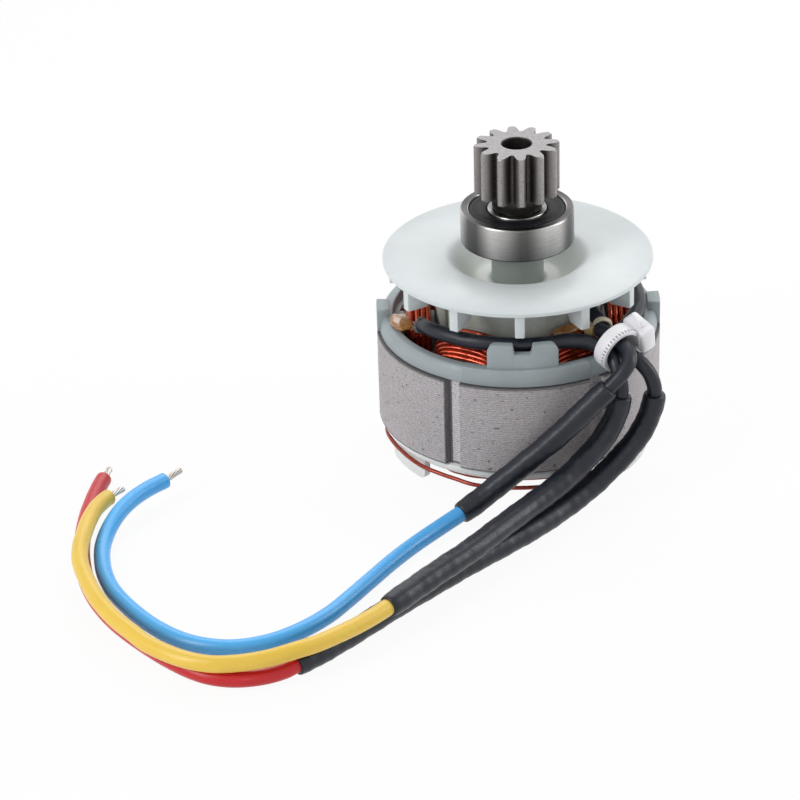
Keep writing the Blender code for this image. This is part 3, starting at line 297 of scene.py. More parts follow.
fanLook = milkyNylon()
insulatorLook = varied("insulator_nylon", (0.37, 0.42, 0.44), (0.32, 0.37, 0.385), 0.42, 0.0, 150.0,
                       1500.0, 0.000012, soft=0.1)
plateLook = varied("inner_nylon", (0.62, 0.66, 0.61), (0.46, 0.50, 0.45), 0.42, 0.0, 260.0, 1500.0, 0.000012)
paleLook = varied("outer_nylon", (0.87, 0.89, 0.885), (0.80, 0.825, 0.82), 0.40, 0.0, 180.0, 1500.0, soft=0.2)
tieLook = varied("tie_nylon", (0.93, 0.93, 0.97), (0.88, 0.88, 0.93), 0.34, 0.0, 200.0, 1500.0, soft=0.3)
tieShadeMarkLook = varied("strap_painted_shade", (0.30, 0.30, 0.34), (0.22, 0.22, 0.26), 0.5, 0.0, 400.0, 2000.0)
rubberLook = varied("seal_rubber", (0.008, 0.0085, 0.010), (0.014, 0.015, 0.017), 0.45, 0.0, 400.0,
                    more={"Specular IOR Level": 0.12})
sleeveLook = varied("shrink_sleeve", (0.009, 0.0115, 0.018), (0.017, 0.0205, 0.031), 0.36, 0.0, 240.0,
                    1800.0, 0.00002, 0.07, more={"Specular IOR Level": 0.35})
frayLook = varied("torn_sleeve", (0.20, 0.20, 0.19), (0.07, 0.07, 0.07), 0.6, 0.0, 900.0)
amberLook = varied("varnish", (0.66, 0.32, 0.06), (0.46, 0.19, 0.035), 0.2, 0.0, 500.0, 1500.0, soft=0.4,
                   coat=0.8, more={"Transmission Weight": 0.4})
tapeLook = varied("coil_tape", (0.66, 0.49, 0.24), (0.56, 0.40, 0.18), 0.5, 0.0, 500.0, 2200.0, 0.00003, soft=0.1)
threadLook = varied("lacing_thread", (0.74, 0.68, 0.52), (0.62, 0.56, 0.42), 0.75, 0.0, 900.0, 3500.0, 0.00004)
print("materials made")


# Shared shape tools; lengths in millimetres, azimuth 0 at the notched tab and growing towards +X
def polar(radius, azimuth, height=0.0):
    angle = radians(azimuth)
    return Vector((radius * sin(angle), -radius * cos(angle), height)) * mm


def evenSteps(first, last, count):
    return [first + (last - first) * k / count for k in range(count + 1)]


def placePiece(name, data, looks, body, node):
    for look in looks:
        data.materials.append(look)
    piece = addToScene(name, data)
    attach(piece, body)
    if node:
        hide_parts(node)
    return piece


def finishPiece(name, builder, looks, node=None, angle=38.0, body="stator"):
    bmesh.ops.remove_doubles(builder, verts=builder.verts, dist=1e-8)
    bmesh.ops.recalc_face_normals(builder, faces=builder.faces)
    mesh = bpy.data.meshes.new(name)
    builder.to_mesh(mesh)
    builder.free()
    mesh.shade_smooth()
    mesh.set_sharp_from_angle(angle=radians(angle))
    return placePiece(name, mesh, looks, body, node)


def curvePiece(name, line, diameter, look, node):
    curve = bpy.data.curves.new(name, "CURVE")
    curve.dimensions = "3D"
    curve.bevel_depth = diameter / 2
    curve.bevel_resolution = 6
    curve.use_fill_caps = True
    spline = curve.splines.new("POLY")
    spline.points.add(len(line) - 1)
    for knot, point in zip(spline.points, line):
        knot.co = (*point, 1.0)
    return placePiece(name, curve, (look,), "stator", node)


def secondLook(builder):
    # Gives every face of a form its piece's second material.
    for face in builder.faces:
        face.material_index = 1
    return builder


def merged(builders):
    # One builder that holds several separately rounded forms.
    whole = bmesh.new()
    for part in builders:
        holder = bpy.data.meshes.new("holder")
        bmesh.ops.recalc_face_normals(part, faces=part.faces)
        part.to_mesh(holder)
        part.free()
        whole.from_mesh(holder)
        bpy.data.meshes.remove(holder)
    return whole


def turnedTo(azimuth):
    return Matrix.Rotation(radians(azimuth - 90.0), 4, "Z")


def movedTo(place):
    return Matrix.Translation(Vector(place) * mm)


def transformed(builder, matrix):
    bmesh.ops.transform(builder, matrix=matrix, verts=builder.verts)
    return builder


def boxForm(size):
    builder = bmesh.new()
    bmesh.ops.create_cube(builder, size=mm)
    bmesh.ops.scale(builder, vec=size, verts=builder.verts)
    return builder


def rounded(builder, offset, segments=2, angle=35.0):
    # Rounds each edge that turns by more than an angle.
    bmesh.ops.recalc_face_normals(builder, faces=builder.faces)
    sharp = [edge for edge in builder.edges
             if len(edge.link_faces) == 2 and edge.calc_face_angle(0.0) > radians(angle)]
    bmesh.ops.bevel(builder, geom=sharp, offset=offset * mm, segments=segments, profile=0.5, affect="EDGES",
                    clamp_overlap=True)
    return builder


def turnedForm(profile, steps):
    # A closed profile of radius and height, spun round the rotor's axis.
    builder = bmesh.new()
    points = [builder.verts.new((radius * mm, 0.0, height * mm)) for radius, height in profile]
    edges = [builder.edges.new(pair) for pair in zip(points, points[1:] + points[:1])]
    bmesh.ops.spin(builder, geom=points + edges, cent=(0, 0, 0), axis=(0, 0, 1), angle=2 * pi, steps=steps)
    bmesh.ops.remove_doubles(builder, verts=builder.verts, dist=1e-7)
    return builder


def roundCorners(profile, radius, steps=3):
    # Replaces each corner of a closed profile by a short arc.
    result = []
    count = len(profile)
    for k in range(count):
        before, here, after = (Vector(profile[(k + s) % count]) for s in (-1, 0, 1))
        first, second = (before - here), (after - here)
        reach = min(radius, first.length * 0.45, second.length * 0.45)
        start, end = here + first.normalized() * reach, here + second.normalized() * reach
        for step in range(steps + 1):
            t = step / steps
            result.append(tuple(start.lerp(here, t).lerp(here.lerp(end, t), t)))
    return result


def circleLoop(radius, steps):
    return [(radius * mm * cos(2 * pi * k / steps), radius * mm * sin(2 * pi * k / steps)) for k in range(steps)]


def flatRing(builder, loop, height):
    return [builder.verts.new((x, y, height * mm)) for x, y in loop]


def joinRings(builder, rings):
    # Joins each ring of points to the next one by a band of faces.
    faces = []
    for before, after in zip(rings, rings[1:]):
        for k in range(len(before)):
            following = (k + 1) % len(before)
            faces.append(builder.faces.new((before[k], before[following], after[following], after[k])))
    return faces


def closeBody(builder, outer, inner):
    # Joins the rings outside and in the hole, fills both ends and returns the outside faces.
    faces = joinRings(builder, outer)
    joinRings(builder, inner)
    for end in (0, -1):
        rings = (outer[end], inner[end])
        rim = [builder.edges.get(pair) for ring in rings for pair in zip(ring, ring[1:] + ring[:1])]
        bmesh.ops.triangle_fill(builder, edges=rim, use_beauty=True)
    return faces


def pick(shape, *keys):
    return (shape[key] for key in keys)


def squareProfile(inner, outer, low, high):
    return [(inner, low), (outer, low), (outer, high), (inner, high)]


def plateForm(loops, bottom, top):
    # A flat plate: the first loop is its outline and the others are holes.
    builder = bmesh.new()
    for loop in loops:
        points = flatRing(builder, loop, bottom)
        for pair in zip(points, points[1:] + points[:1]):
            builder.edges.new(pair)
    bmesh.ops.triangle_fill(builder, edges=builder.edges[:], use_beauty=True)
    return pulled(builder, builder.faces[:], (0, 0, (top - bottom) * mm))


def pulled(builder, faces, way):
    # Pulls flat faces out into a solid.
    region = bmesh.ops.extrude_face_region(builder, geom=faces)
    lifted = [item for item in region["geom"] if isinstance(item, bmesh.types.BMVert)]
    bmesh.ops.translate(builder, verts=lifted, vec=way)
    return builder


def wallForm(inner, outer, stations, edge=0.2):
    # A curved wall whose lower and upper edge are given at each azimuth.
    builder = bmesh.new()
    rings = []
    for azimuth, low, high in stations:
        corners = squareProfile(inner, outer, low, high)
        rings.append([builder.verts.new(polar(radius, azimuth, z)) for radius, z in corners])
    joinRings(builder, rings)
    builder.faces.new(rings[0])
    builder.faces.new(rings[-1])
    return rounded(builder, edge, 2, 30.0)


def cornerStations(centre, half, low, high, corner, radius, count, upper=True):
    # Wall stations with two round corners, at the top or at the bottom.
    cornerAngle = degrees(corner / radius)
    found = []
    for side in (-1, 1):
        arc = []
        for k in range(6):
            turn = radians(18.0 * k)
            change = corner * (1 - sin(turn))
            azimuth = centre + side * (half - cornerAngle * (1 - cos(turn)))
            arc.append((azimuth, low, high - change) if upper else (azimuth, low + change, high))
        found.append(arc)
    middle = evenSteps(centre - half + cornerAngle, centre + half - cornerAngle, count)[1:-1]
    return found[0] + [(azimuth, low, high) for azimuth in middle] + found[1][::-1]


def sweptTube(builder, points, radius, sides):
    # A round tube along points, without twist.
    rings = []
    normal = None
    for k, point in enumerate(points):
        tangent = (points[min(k + 1, len(points) - 1)] - points[max(k - 1, 0)]).normalized()
        if normal is None:
            normal = tangent.orthogonal()
        normal = (normal - tangent * normal.dot(tangent)).normalized()
        across = tangent.cross(normal)
        size = radius[k] if isinstance(radius, list) else radius
        turns = [2 * pi * side / sides for side in range(sides)]
        places = [point + (normal * cos(turn) + across * sin(turn)) * size for turn in turns]
        rings.append([builder.verts.new(place) for place in places])
    joinRings(builder, rings)
    builder.faces.new(rings[0][::-1])
    builder.faces.new(rings[-1])


def smoothLine(route, steps=12):
    points = [Vector(point) for point in route]
    ends = [2 * points[0] - points[1]] + points + [2 * points[-1] - points[-2]]
    line = []
    for k in range(1, len(ends) - 2):
        before, start, stop, after = ends[k - 1:k + 3]
        for step in range(steps):
            t = step / steps
            line.append(0.5 * (2 * start + (stop - before) * t
                               + (2 * before - 5 * start + 4 * stop - after) * t ** 2
                               + (3 * start - before - 3 * stop + after) * t ** 3))
    line.append(points[-1])
    return line


def lineLength(line):
    return sum((b - a).length for a, b in zip(line, line[1:]))


# Leads: thin sleeve, outer sleeve, wire and bare end along one smooth line each, in millimetres
leadRoutes = {
    "blue": {
        "inner": [(14.3, -13, 34.6), (15.6, -15.9, 34.1), (15.7, -19.5, 33.9), (17.44, -22.36, 34.35),
            (18.39, -23.58, 33.99), (19.3, -24.9, 33.7), (20.4, -27.2, 33.1), (20.4, -29.6, 31.9),
            (18.7, -31.3, 30), (16.3, -31.9, 27.6)],
        "sleeve": [(12.8, -32.3, 24.2), (8.7, -32.6, 20), (4.2, -32.6, 15.5), (-0.8, -32.7, 11),
            (-5.7, -33.4, 7.2), (-9.6, -34.8, 4.6), (-13.3, -37, 3)],
        "lead": [(-17.3, -40.3, 2.1), (-22.2, -45.6, 1.7), (-26.9, -52, 1.7), (-31.5, -59.1, 1.7),
            (-35.3, -65, 1.7), (-39.5, -71, 1.7), (-44.9, -76.3, 1.7), (-50.8, -79.9, 1.7),
            (-57.7, -81.3, 1.7), (-64.8, -79.4, 1.7), (-70.9, -74.7, 1.7), (-76.2, -68.1, 1.7),
            (-80.4, -61, 1.7), (-82.6, -54.9, 1.7), (-83.6, -49.7, 1.8), (-83.9, -44.4, 2.1),
            (-83.1, -39.2, 2.8), (-81.3, -34.4, 3.8), (-78.8, -30.3, 4.5), (-75.8, -26.7, 4.8),
            (-72.6, -23.5, 4.8)],
        "core": [(-71.1, -21.6, 4.9), (-69.6, -19.8, 5)],
    },
    "yellow": {
        "inner": [(-19.9, -10.6, 31.6), (-17.5, -15.5, 32.9), (-12.9, -19.4, 33.1), (-7.9, -21.8, 33.1),
            (-0.7, -23, 33), (4.3, -22.8, 33), (8.5, -22, 33.1), (11.8, -21.9, 32.9), (14, -22.1, 32.3),
            (15.6, -23, 31.7), (16.8, -24.1, 31.4), (17.7, -25.2, 30.8), (18.4, -26.8, 29.1),
            (18.9, -27.8, 26.8), (19, -28.1, 23.8)],
        "sleeve": [(18, -28, 19.3), (15.9, -28.9, 15.4), (12.8, -31, 12.4), (8.9, -34, 9.9), (5, -37.8, 8.5),
            (0.7, -42, 7.6), (-5.3, -49.3, 7.3), (-12.1, -57.8, 7), (-18, -64.4, 6.8), (-22.9, -69.9, 6.5),
            (-28.1, -75.8, 6.2)],
        "lead": [(-31.6, -79.5, 6.1), (-35.3, -82.9, 6.1), (-40.9, -87.5, 6.3), (-45.2, -90.3, 6.6),
            (-50.1, -91.7, 6), (-55.4, -92.1, 5.4), (-60.9, -91.8, 5.2), (-66.5, -89.5, 5.2),
            (-72.3, -84.9, 5.2), (-75.6, -80.7, 5.2), (-79.7, -74.9, 5.2), (-83.4, -67.7, 5.3),
            (-85.8, -60.7, 5.3), (-87.3, -54.8, 5.3), (-87.7, -49.4, 5.3), (-87.4, -44.6, 5.2),
            (-86.8, -39.5, 5.2), (-85.9, -34.8, 5), (-84.6, -30.9, 4.6), (-83.6, -28.9, 4.4)],
        "core": [(-82.4, -26.9, 4.2), (-81, -25, 4)],
    },
    "red": {
        "inner": [(19.8, 10.6, 32.5), (23.1, 5.6, 32.6), (24.4, 0, 32.3), (24.1, -6, 32.4),
            (22.5, -11.3, 32.5), (20.5, -15.6, 32.4), (18.9, -18.9, 32), (18.8, -21.1, 31.6),
            (19.7, -22.6, 31.2), (21.4, -24.1, 30.5), (23.5, -25.3, 29), (25.2, -25.8, 26.4),
            (25.9, -25.6, 22.6)],
        "sleeve": [(24.9, -25.2, 17.6), (22.7, -25.6, 13), (19.1, -27, 9), (16, -28.6, 6.5), (12.7, -31, 4.6),
            (7.7, -35.6, 3.2), (1.6, -41.8, 2.6), (-5.3, -48.3, 2.4), (-12.1, -54.7, 2.4), (-18, -60.6, 2.4),
            (-26.5, -69.3, 2.4), (-35.3, -78.9, 2.4), (-41, -84.7, 2.4), (-45.3, -88.6, 2.4)],
        "lead": [(-47.4, -89.8, 2), (-50.4, -90.8, 1.7), (-53.8, -91.6, 1.7), (-57.5, -91.6, 1.7),
            (-61.1, -90.6, 1.7), (-64, -88.9, 1.7), (-66.8, -86.6, 1.7), (-70.7, -82.7, 1.7),
            (-75.7, -76.8, 1.7), (-80, -70.8, 1.7), (-83.5, -64.1, 1.7), (-85.9, -57.2, 1.7),
            (-87.3, -50.8, 1.7), (-88, -44.9, 1.7), (-88.2, -37.9, 1.7), (-87.9, -31.3, 1.7),
            (-87.2, -25.4, 1.7), (-86.3, -20, 1.7), (-85.6, -16.9, 1.7)],
        "core": [(-85.2, -14.6, 1.5), (-84.7, -12.3, 1.4)],
    },
}
jumperRoutes = [
    [(-94.3, 26.97, 3.6), (-82.7, 27.72, 3.9), (-71.3, 27.77, 4.0), (-58.3, 27.75, 3.9), (-47.9, 27.75, 3.6),
     (-39.1, 27.3, 3.3), (-31.9, 26.86, 2.9), (-20.5, 26.9, 2.5), (-2.2, 26.02, 2.1), (15.6, 25.96, 2.1),
     (30.6, 25.55, 2.5), (43.7, 25.18, 2.9)],
    [(-38.5, 25.05, 3.9), (-34.9, 25.49, 3.8), (-30.4, 25.5, 3.75), (-21.7, 25.4, 3.7), (-2.3, 24.42, 3.4),
     (16.0, 24.66, 3.4), (32.0, 24.53, 3.5), (40.0, 24.28, 3.8)]]
leadShape = {"steps": 12, "inner": 3.0, "sleeve": 4.7, "lead": 3.3, "drawn": 0.22, "drawnReach": 1.2,
             "waves": ((0.04, 0.9), (0.03, 2.3)), "covered": 6, "strand": 0.46, "strandRing": 0.43, "twist": 0.11}
coilEnds = {"strands": 4, "wire": 0.8, "fan": 0.6, "bends": ((1.6, 0.5, 0.6), (1.2, 0.4, 2.4)),
            "fibres": 22, "fibre": 0.34, "fibreStart": 1.46}
jumperWire = 0.85


def outerSleeve(colour, line):
    # A tube whose ends draw in over what it covers.
    shape = leadShape
    total = lineLength(line) / mm
    travelled, radii = 0.0, []
    for k, point in enumerate(line):
        travelled += (point - line[k - 1]).length / mm if k else 0.0
        wave = sum(size * sin(pace * travelled) for size, pace in shape["waves"])
        drawn = shape["drawn"] * exp(-min(travelled, total - travelled) / shape["drawnReach"])
        radii.append((shape["sleeve"] / 2 - drawn + wave) * mm)
    builder = bmesh.new()
    sweptTube(builder, line, radii, 20)
    rounded(builder, 0.25, 2, 60.0)
    return finishPiece(f"{colour}OuterSleeve", builder, (sleeveLook,), f"{colour}_outer_sleeve", 50.0)


def tornStart(colour, whole):
    # Strands of the coil's wire run out of the thin sleeve's torn start, down to the coil.
    chance = random.Random(len(colour))
    back = (whole[0] - whole[2]).normalized()
    side = back.cross(Vector((0, 0, 1))).normalized()
    builder = bmesh.new()
    for strand in range(coilEnds["strands"]):
        spread = chance.uniform(-1.0, 1.0)
        bend = [whole[3], whole[0] + side * spread * coilEnds["fan"] * mm]
        for run, aside, drop in coilEnds["bends"]:
            bend.append(bend[-1] + (back * run + side * spread * aside - Vector((0, 0, drop))) * mm)
        sweptTube(builder, smoothLine(bend, 8), coilEnds["wire"] / 2 * mm, 8)
    finishPiece(f"{colour}CoilEnds", builder, (copperLook,), angle=60.0)
    builder = bmesh.new()
    for fibre in range(coilEnds["fibres"]):
        turn = 2 * pi * fibre / coilEnds["fibres"]
        out = (side * cos(turn) + side.cross(back) * sin(turn)) * mm
        start = whole[1] + out * coilEnds["fibreStart"]
        middle = whole[0] + out * chance.uniform(1.4, 1.7) + back * 0.1 * mm
        end = middle + back * chance.uniform(0.2, 0.9) * mm + out * chance.uniform(-0.6, 0.4)
        sweptTube(builder, smoothLine([start, middle, end], 5), coilEnds["fibre"] / 2 * mm, 6)
    finishPiece(f"{colour}SleeveFray", builder, (frayLook,), angle=60.0)


def tinnedEnd(colour, tip):
    # A twist of seven strands, with the last one in the middle.
    tip = [tip[0] - (tip[1] - tip[0]).normalized() * mm] + tip
    builder = bmesh.new()
    for strand in range(7):
        radius = 0.0 if strand == 6 else leadShape["strandRing"] * mm
        twisted = []
        for k, point in enumerate(tip):
            tangent = (tip[min(k + 1, len(tip) - 1)] - tip[max(k - 1, 0)]).normalized()
            aside = tangent.cross(Vector((0, 0, 1))).normalized()
            raised = aside.cross(tangent)
            turn = strand * pi / 3 + k * leadShape["twist"]
            twisted.append(point + (aside * cos(turn) + raised * sin(turn)) * radius)
        sweptTube(builder, twisted, leadShape["strand"] / 2 * mm, 8)
    return finishPiece(f"{colour}TinnedEnd", builder, (tinLook,), f"{colour}_core_end")


def leadPieces(colour, wireLook):
    shape = leadShape
    parts = leadRoutes[colour].values()
    whole = smoothLine([Vector(point) * mm for part in parts for point in part], shape["steps"])
    counts = [len(part) for part in parts]
    innerEnd, sleeveEnd, wireEnd, coreEnd = (shape["steps"] * (sum(counts[:k]) - 1) for k in (1, 2, 3, 4))
    inner = curvePiece(f"{colour}ThinSleeve", whole[:innerEnd + 1], shape["inner"] * mm, sleeveLook,
                       f"{colour}_inner_sleeve")
    outer = outerSleeve(colour, whole[innerEnd:sleeveEnd + 1])
    tornStart(colour, whole)
    core = tinnedEnd(colour, whole[wireEnd:coreEnd + 1])
    # The wire runs on inside its sleeve, and shows from the sleeve's end.
    line = whole[innerEnd + shape["covered"]:wireEnd + 1]
    wire = curvePiece(f"{colour}Wire", line, shape["lead"] * mm, wireLook, f"{colour}_lead")


# Colour, shade, roughness, grain depth and spread of each wire's insulation
insulation = {"blue": ((0.09, 0.49, 1.0), (0.085, 0.475, 1.0), 0.30, 0.000001, 0.03),
              "yellow": ((0.90, 0.61, 0.085), (0.86, 0.57, 0.068), 0.34, 0.000002, 0.04),
              "red": ((0.62, 0.010, 0.018), (0.57, 0.008, 0.015), 0.32, 0.000001, 0.04)}
for leadColour, (plain, shade, roughness, depth, spread) in insulation.items():
    wireLook = varied(f"{leadColour}_insulation", plain, shade, roughness, 0.0, 110.0, 700.0, depth, spread)
    leadPieces(leadColour, wireLook)
print("leads laid")

# Jumper wires under the stack, each point as azimuth, radius and height
for number, route in enumerate(jumperRoutes, start=1):
    places = [polar(radius, azimuth, height) for azimuth, radius, height in route]
    curvePiece(f"jumperWire{number}", smoothLine(places), jumperWire * mm, jumperLook, f"jumper_wire_{number}")


# Stator stack of stamped sheets
stackShape = {"radius": 29.0, "bottom": 7.1, "top": 26.1, "sheets": 38, "yoke": 24.6, "bore": 15.6,
              "toothHalf": 4.0, "shoe": 17.7, "shoeTip": 16.5, "shoeAngle": 25.5, "grooveHalf": 1.8,
              "grooveFloorHalf": 1.3, "grooveDepth": 1.6, "unevenness": 0.025, "seam": -0.055, "rim": -0.10}
toothAzimuths = [30.0 + 60.0 * k for k in range(6)]


def stackOutline(radius):
    edge = degrees(asin(stackShape["grooveHalf"] / radius))
    floorRadius = radius - stackShape["grooveDepth"]
    floor = degrees(asin(stackShape["grooveFloorHalf"] / floorRadius))
    outline = []
    for azimuth in toothAzimuths:
        outline += [(radius, azimuth - edge), (radius - 0.2, azimuth - edge + 0.25),
                    (floorRadius, azimuth - floor), (floorRadius, azimuth - floor * 0.55),
                    (floorRadius, azimuth + floor), (radius - 0.2, azimuth + edge - 0.25)]
        outline += [(radius, turn) for turn in evenSteps(azimuth + edge, azimuth + 60.0 - edge, 14)[:-1]]
    return [polar(*corner).xy for corner in outline]


def toothOutline(shape):
    # The hole inside the yoke, round the six teeth and their shoes.
    yoke, shoe, tip, bore, half = pick(shape, "yoke", "shoe", "shoeTip", "bore", "shoeAngle")
    yokeAngle, sideAngle = (degrees(asin(shape["toothHalf"] / radius)) for radius in (yoke, shoe))
    outline = []
    for azimuth in toothAzimuths:
        outline += [(yoke, turn) for turn in evenSteps(azimuth - 30.0, azimuth - yokeAngle, 6)[1:]]
        outline += [(shoe, azimuth - sideAngle), (tip, azimuth - half)]
        outline += [(bore, turn) for turn in evenSteps(azimuth - half, azimuth + half, 14)]
        outline += [(tip, azimuth + half), (shoe, azimuth + sideAngle)]
        outline += [(yoke, turn) for turn in evenSteps(azimuth + yokeAngle, azimuth + 30.0, 6)]
    return [polar(*corner).xy for corner in outline]


def makeStack():
    shape = stackShape
    chance = random.Random(4)
    sheet = (shape["top"] - shape["bottom"]) / shape["sheets"]
    levels = [(shape["bottom"], shape["rim"])]
    for k in range(shape["sheets"]):
        low = shape["bottom"] + k * sheet
        shift = chance.uniform(-1.0, 0.0) * shape["unevenness"]
        levels += [(low + sheet * 0.14, shift), (low + sheet * 0.86, shift), (low + sheet, shape["seam"])]
    levels[-1] = (shape["top"], shape["rim"])
    builder = bmesh.new()
    outer = [flatRing(builder, stackOutline(shape["radius"] + shift), height) for height, shift in levels]
    inner = [flatRing(builder, toothOutline(shape), height) for height in (shape["bottom"], shape["top"])]
    perTooth = len(outer[0]) // len(toothAzimuths)
    for k, face in enumerate(closeBody(builder, outer, inner)):
        # Each groove gets a painted shadow on one side and painted light on the other, from shaded and lit copies
        # of the sheet steel.
        corner = k % perTooth
        if corner in (1, 2, 3, 4):
            face.material_index = 1 if corner < 3 else 2
    finishPiece("statorSheets", builder, (steelLook, grooveShadeLook, grooveLightLook), "stator_stack", 32.0)


makeStack()
print("stack made")


# Insulators: a cover and six curved plates each
coverShape = {"radius": 28.4, "yoke": 24.6, "bore": 15.75, "toothHalf": 4.4, "shoe": 17.3, "shoeTip": 17.3,
              "shoeAngle": 28.9, "edge": 0.12, "plateInner": 15.9, "plateOuter": 17.1, "plateHalf": 28.4,
              "plateCorner": 0.7}
topShape = {"bottom": 26.4, "cover": 27.4, "start": 26.8, "wallTop": 29.6, "wallInner": 25.6, "wallOuter": 27.2,
            "plateTop": 36.7, "tabTop": 35.1, "tabInner": 25.95, "tabOuter": 27.65, "tabHalf": 14.8,
            "tabTilt": -0.6, "tabCorner": 1.6, "notchHalf": 3.7, "notchDepth": 2.0, "padTop": 30.0,
            "padOuter": 28.42, "padHalf": 26.7, "padTilt": 1.0, "inside": 26.4, "lugTop": 31.3,
            "lugHalf": 5.4, "lugOuter": 29.0}


def coverForm(low, high):
    loops = [circleLoop(coverShape["radius"], 96), toothOutline(coverShape)]
    return rounded(plateForm(loops, low, high), coverShape["edge"], 2, 50.0)


def curvedPlates(low, high, upper):
    inner, outer, half, corner = pick(coverShape, "plateInner", "plateOuter", "plateHalf", "plateCorner")
    return [wallForm(inner, outer, cornerStations(azimuth, half, low, high, corner, outer, 12, upper))
            for azimuth in toothAzimuths]


def tabStations():
    low, top, tilt, half = pick(topShape, "start", "tabTop", "tabTilt", "notchHalf")
    floor = top - topShape["notchDepth"]
    left, right = tilt - half, tilt + half
    notch = []
    for aside, height in ((-0.9, top), (-0.5, top - 0.25), (0.0, floor + 0.3), (0.5, floor)):
        notch += [(left + aside, low, height), (right - aside, low, height)]
    plain = cornerStations(tilt, topShape["tabHalf"], low, top, topShape["tabCorner"], topShape["tabOuter"], 4)
    return sorted([s for s in plain if s[0] < left - 1.0 or s[0] > right + 1.0] + notch)


def makeTopInsulator():
    shape = topShape
    bottom, cover, start, top = pick(shape, "bottom", "cover", "start", "wallTop")
    inner, inside = pick(shape, "wallInner", "inside")
    rim = coverShape["radius"]
    wall = [(inner, start), (rim - 0.02, start), (rim - 0.02, cover + 0.1), (rim - 0.45, top - 0.7),
            (shape["wallOuter"] + 0.1, top), (inner, top)]
    parts = [coverForm(bottom, cover), turnedForm(roundCorners(wall, 0.4, 4), 128)]
    parts += [secondLook(plate) for plate in curvedPlates(start, shape["plateTop"], True)]
    parts.append(wallForm(shape["tabInner"], shape["tabOuter"], tabStations(), 0.22))
    tilt, half, top, outer = pick(shape, "padTilt", "padHalf", "padTop", "padOuter")
    pad = cornerStations(tilt, half, bottom - 0.02, top, 0.4, outer, 14)
    parts.append(wallForm(inside, outer, pad, 0.18))
    half, top, outer = pick(shape, "lugHalf", "lugTop", "lugOuter")
    for azimuth in (-90.0, 90.0):
        lug = cornerStations(azimuth, half, bottom + 0.15, top, 0.4, outer, 4)
        parts.append(wallForm(inside, outer - 0.05, lug, 0.25))
    finishPiece("topInsulator", merged(parts), (insulatorLook, plateLook), "insulator_top", 45.0)


makeTopInsulator()

# Bottom insulator with its three feet
bottomShape = {"top": 6.8, "cover": 5.8, "end": 6.4, "bandInner": 25.3, "bandOuter": 27.0, "bandBottom": 4.5,
               "plateBottom": 1.2, "footInner": 25.4, "footOuter": 26.9, "footHalf": 14.0, "footCorner": 1.5,
               "footCentres": (-62.0, 62.0, 180.0)}


def makeBottomInsulator():
    shape = bottomShape
    outer, end = shape["bandOuter"], shape["end"]
    band = squareProfile(shape["bandInner"], outer, shape["bandBottom"], end)
    parts = [coverForm(shape["cover"], shape["top"]), turnedForm(roundCorners(band, 0.25), 96)]
    parts += curvedPlates(shape["plateBottom"], end, False)
    for centre in shape["footCentres"]:
        stations = cornerStations(centre, shape["footHalf"], 0.0, end, shape["footCorner"], outer, 10, False)
        parts.append(wallForm(shape["footInner"], shape["footOuter"], stations, 0.25))
    finishPiece("bottomInsulator", merged(parts), (paleLook,), "insulator_bottom", 45.0)


makeBottomInsulator()
print("insulators made")


# Windings: turns of enamelled wire over a heart painted dark, as painted shade between the turns
coilShape = {"wire": 1.02, "pitch": 1.1, "inner": 17.75, "half": 4.6, "top": 27.75, "bottom": 5.45,
             "fullness": 0.84, "looseness": 0.03,
             "layers": [{"top": 4.55, "side": 3.1, "under": 3.6, "turns": 3, "start": 0.15},
                        {"top": 3.6, "side": 2.5, "under": 2.85, "turns": 4, "start": 0.3},
                        {"top": 2.65, "side": 1.9, "under": 2.1, "turns": 4, "start": 0.65},
                        {"top": 1.7, "side": 1.25, "under": 1.35, "turns": 4, "start": 0.95},
                        {"top": 0.75, "side": 0.6, "under": 0.65, "turns": 4, "start": 1.2}],
             "heart": {"top": 1.5, "side": 0.9, "under": 1.3}, "heartEnds": (17.85, 22.65),
             "heartHole": [(4.5, 27.6), (4.5, 5.6), (-4.5, 5.6), (-4.5, 27.6)]}


def coilLoop(layer, chance):
    # One turn round the tooth as (across, height), with humped ends above and below.
    shape = coilShape
    loop = []
    for across, up, start in ((-1, -1, -90.0), (-1, 1, -180.0), (1, 1, 90.0), (1, -1, 0.0)):
        level, build = (shape["top"], layer["top"]) if up > 0 else (shape["bottom"], layer["under"])
        for k in range(9):
            turn = radians(start - 11.25 * k)
            wide = abs(cos(turn)) ** shape["fullness"] * (shape["half"] + layer["side"])
            high = abs(sin(turn)) ** shape["fullness"] * build
            loop.append((across * wide, level + up * high))
    loose = shape["looseness"]
    return [(x + chance.uniform(-loose, loose), z + chance.uniform(-loose, loose)) for x, z in loop]


def makeCoil(number, azimuth):
    shape = coilShape
    chance = random.Random(number)
    turned = turnedTo(azimuth)
    builder = bmesh.new()
    for layer in shape["layers"]:
        line = []
        for turn in range(layer["turns"]):
            loop = coilLoop(layer, chance)
            for k, (across, height) in enumerate(loop):
                # The last quarter of a turn moves on to the next one.
                lead = max(0.0, (k - len(loop) * 0.75) / (len(loop) * 0.25))
                radial = shape["inner"] + layer["start"] + (turn + 0.5 + lead) * shape["pitch"]
                line.append(turned @ (Vector((radial, across, height)) * mm))
        sweptTube(builder, line, shape["wire"] / 2 * mm, 8)
    finishPiece(f"windingTurns{number}", builder, (copperLook,), f"winding_{number}", 60.0)

    # A filler inside the turns, painted dark as the shade that shows between them
    heart = bmesh.new()
    rings, holes = ([[heart.verts.new(turned @ (Vector((radial, x, z)) * mm)) for x, z in loop]
                     for radial in shape["heartEnds"]]
                    for loop in (coilLoop(shape["heart"], random.Random(1)), shape["heartHole"]))
    closeBody(heart, rings, holes)
    finishPiece(f"windingShadeHeart{number}", heart, (heartShadeLook,), angle=60.0)


for coilNumber, coilAzimuth in enumerate(toothAzimuths, start=1):
    makeCoil(coilNumber, coilAzimuth)
print("windings made")


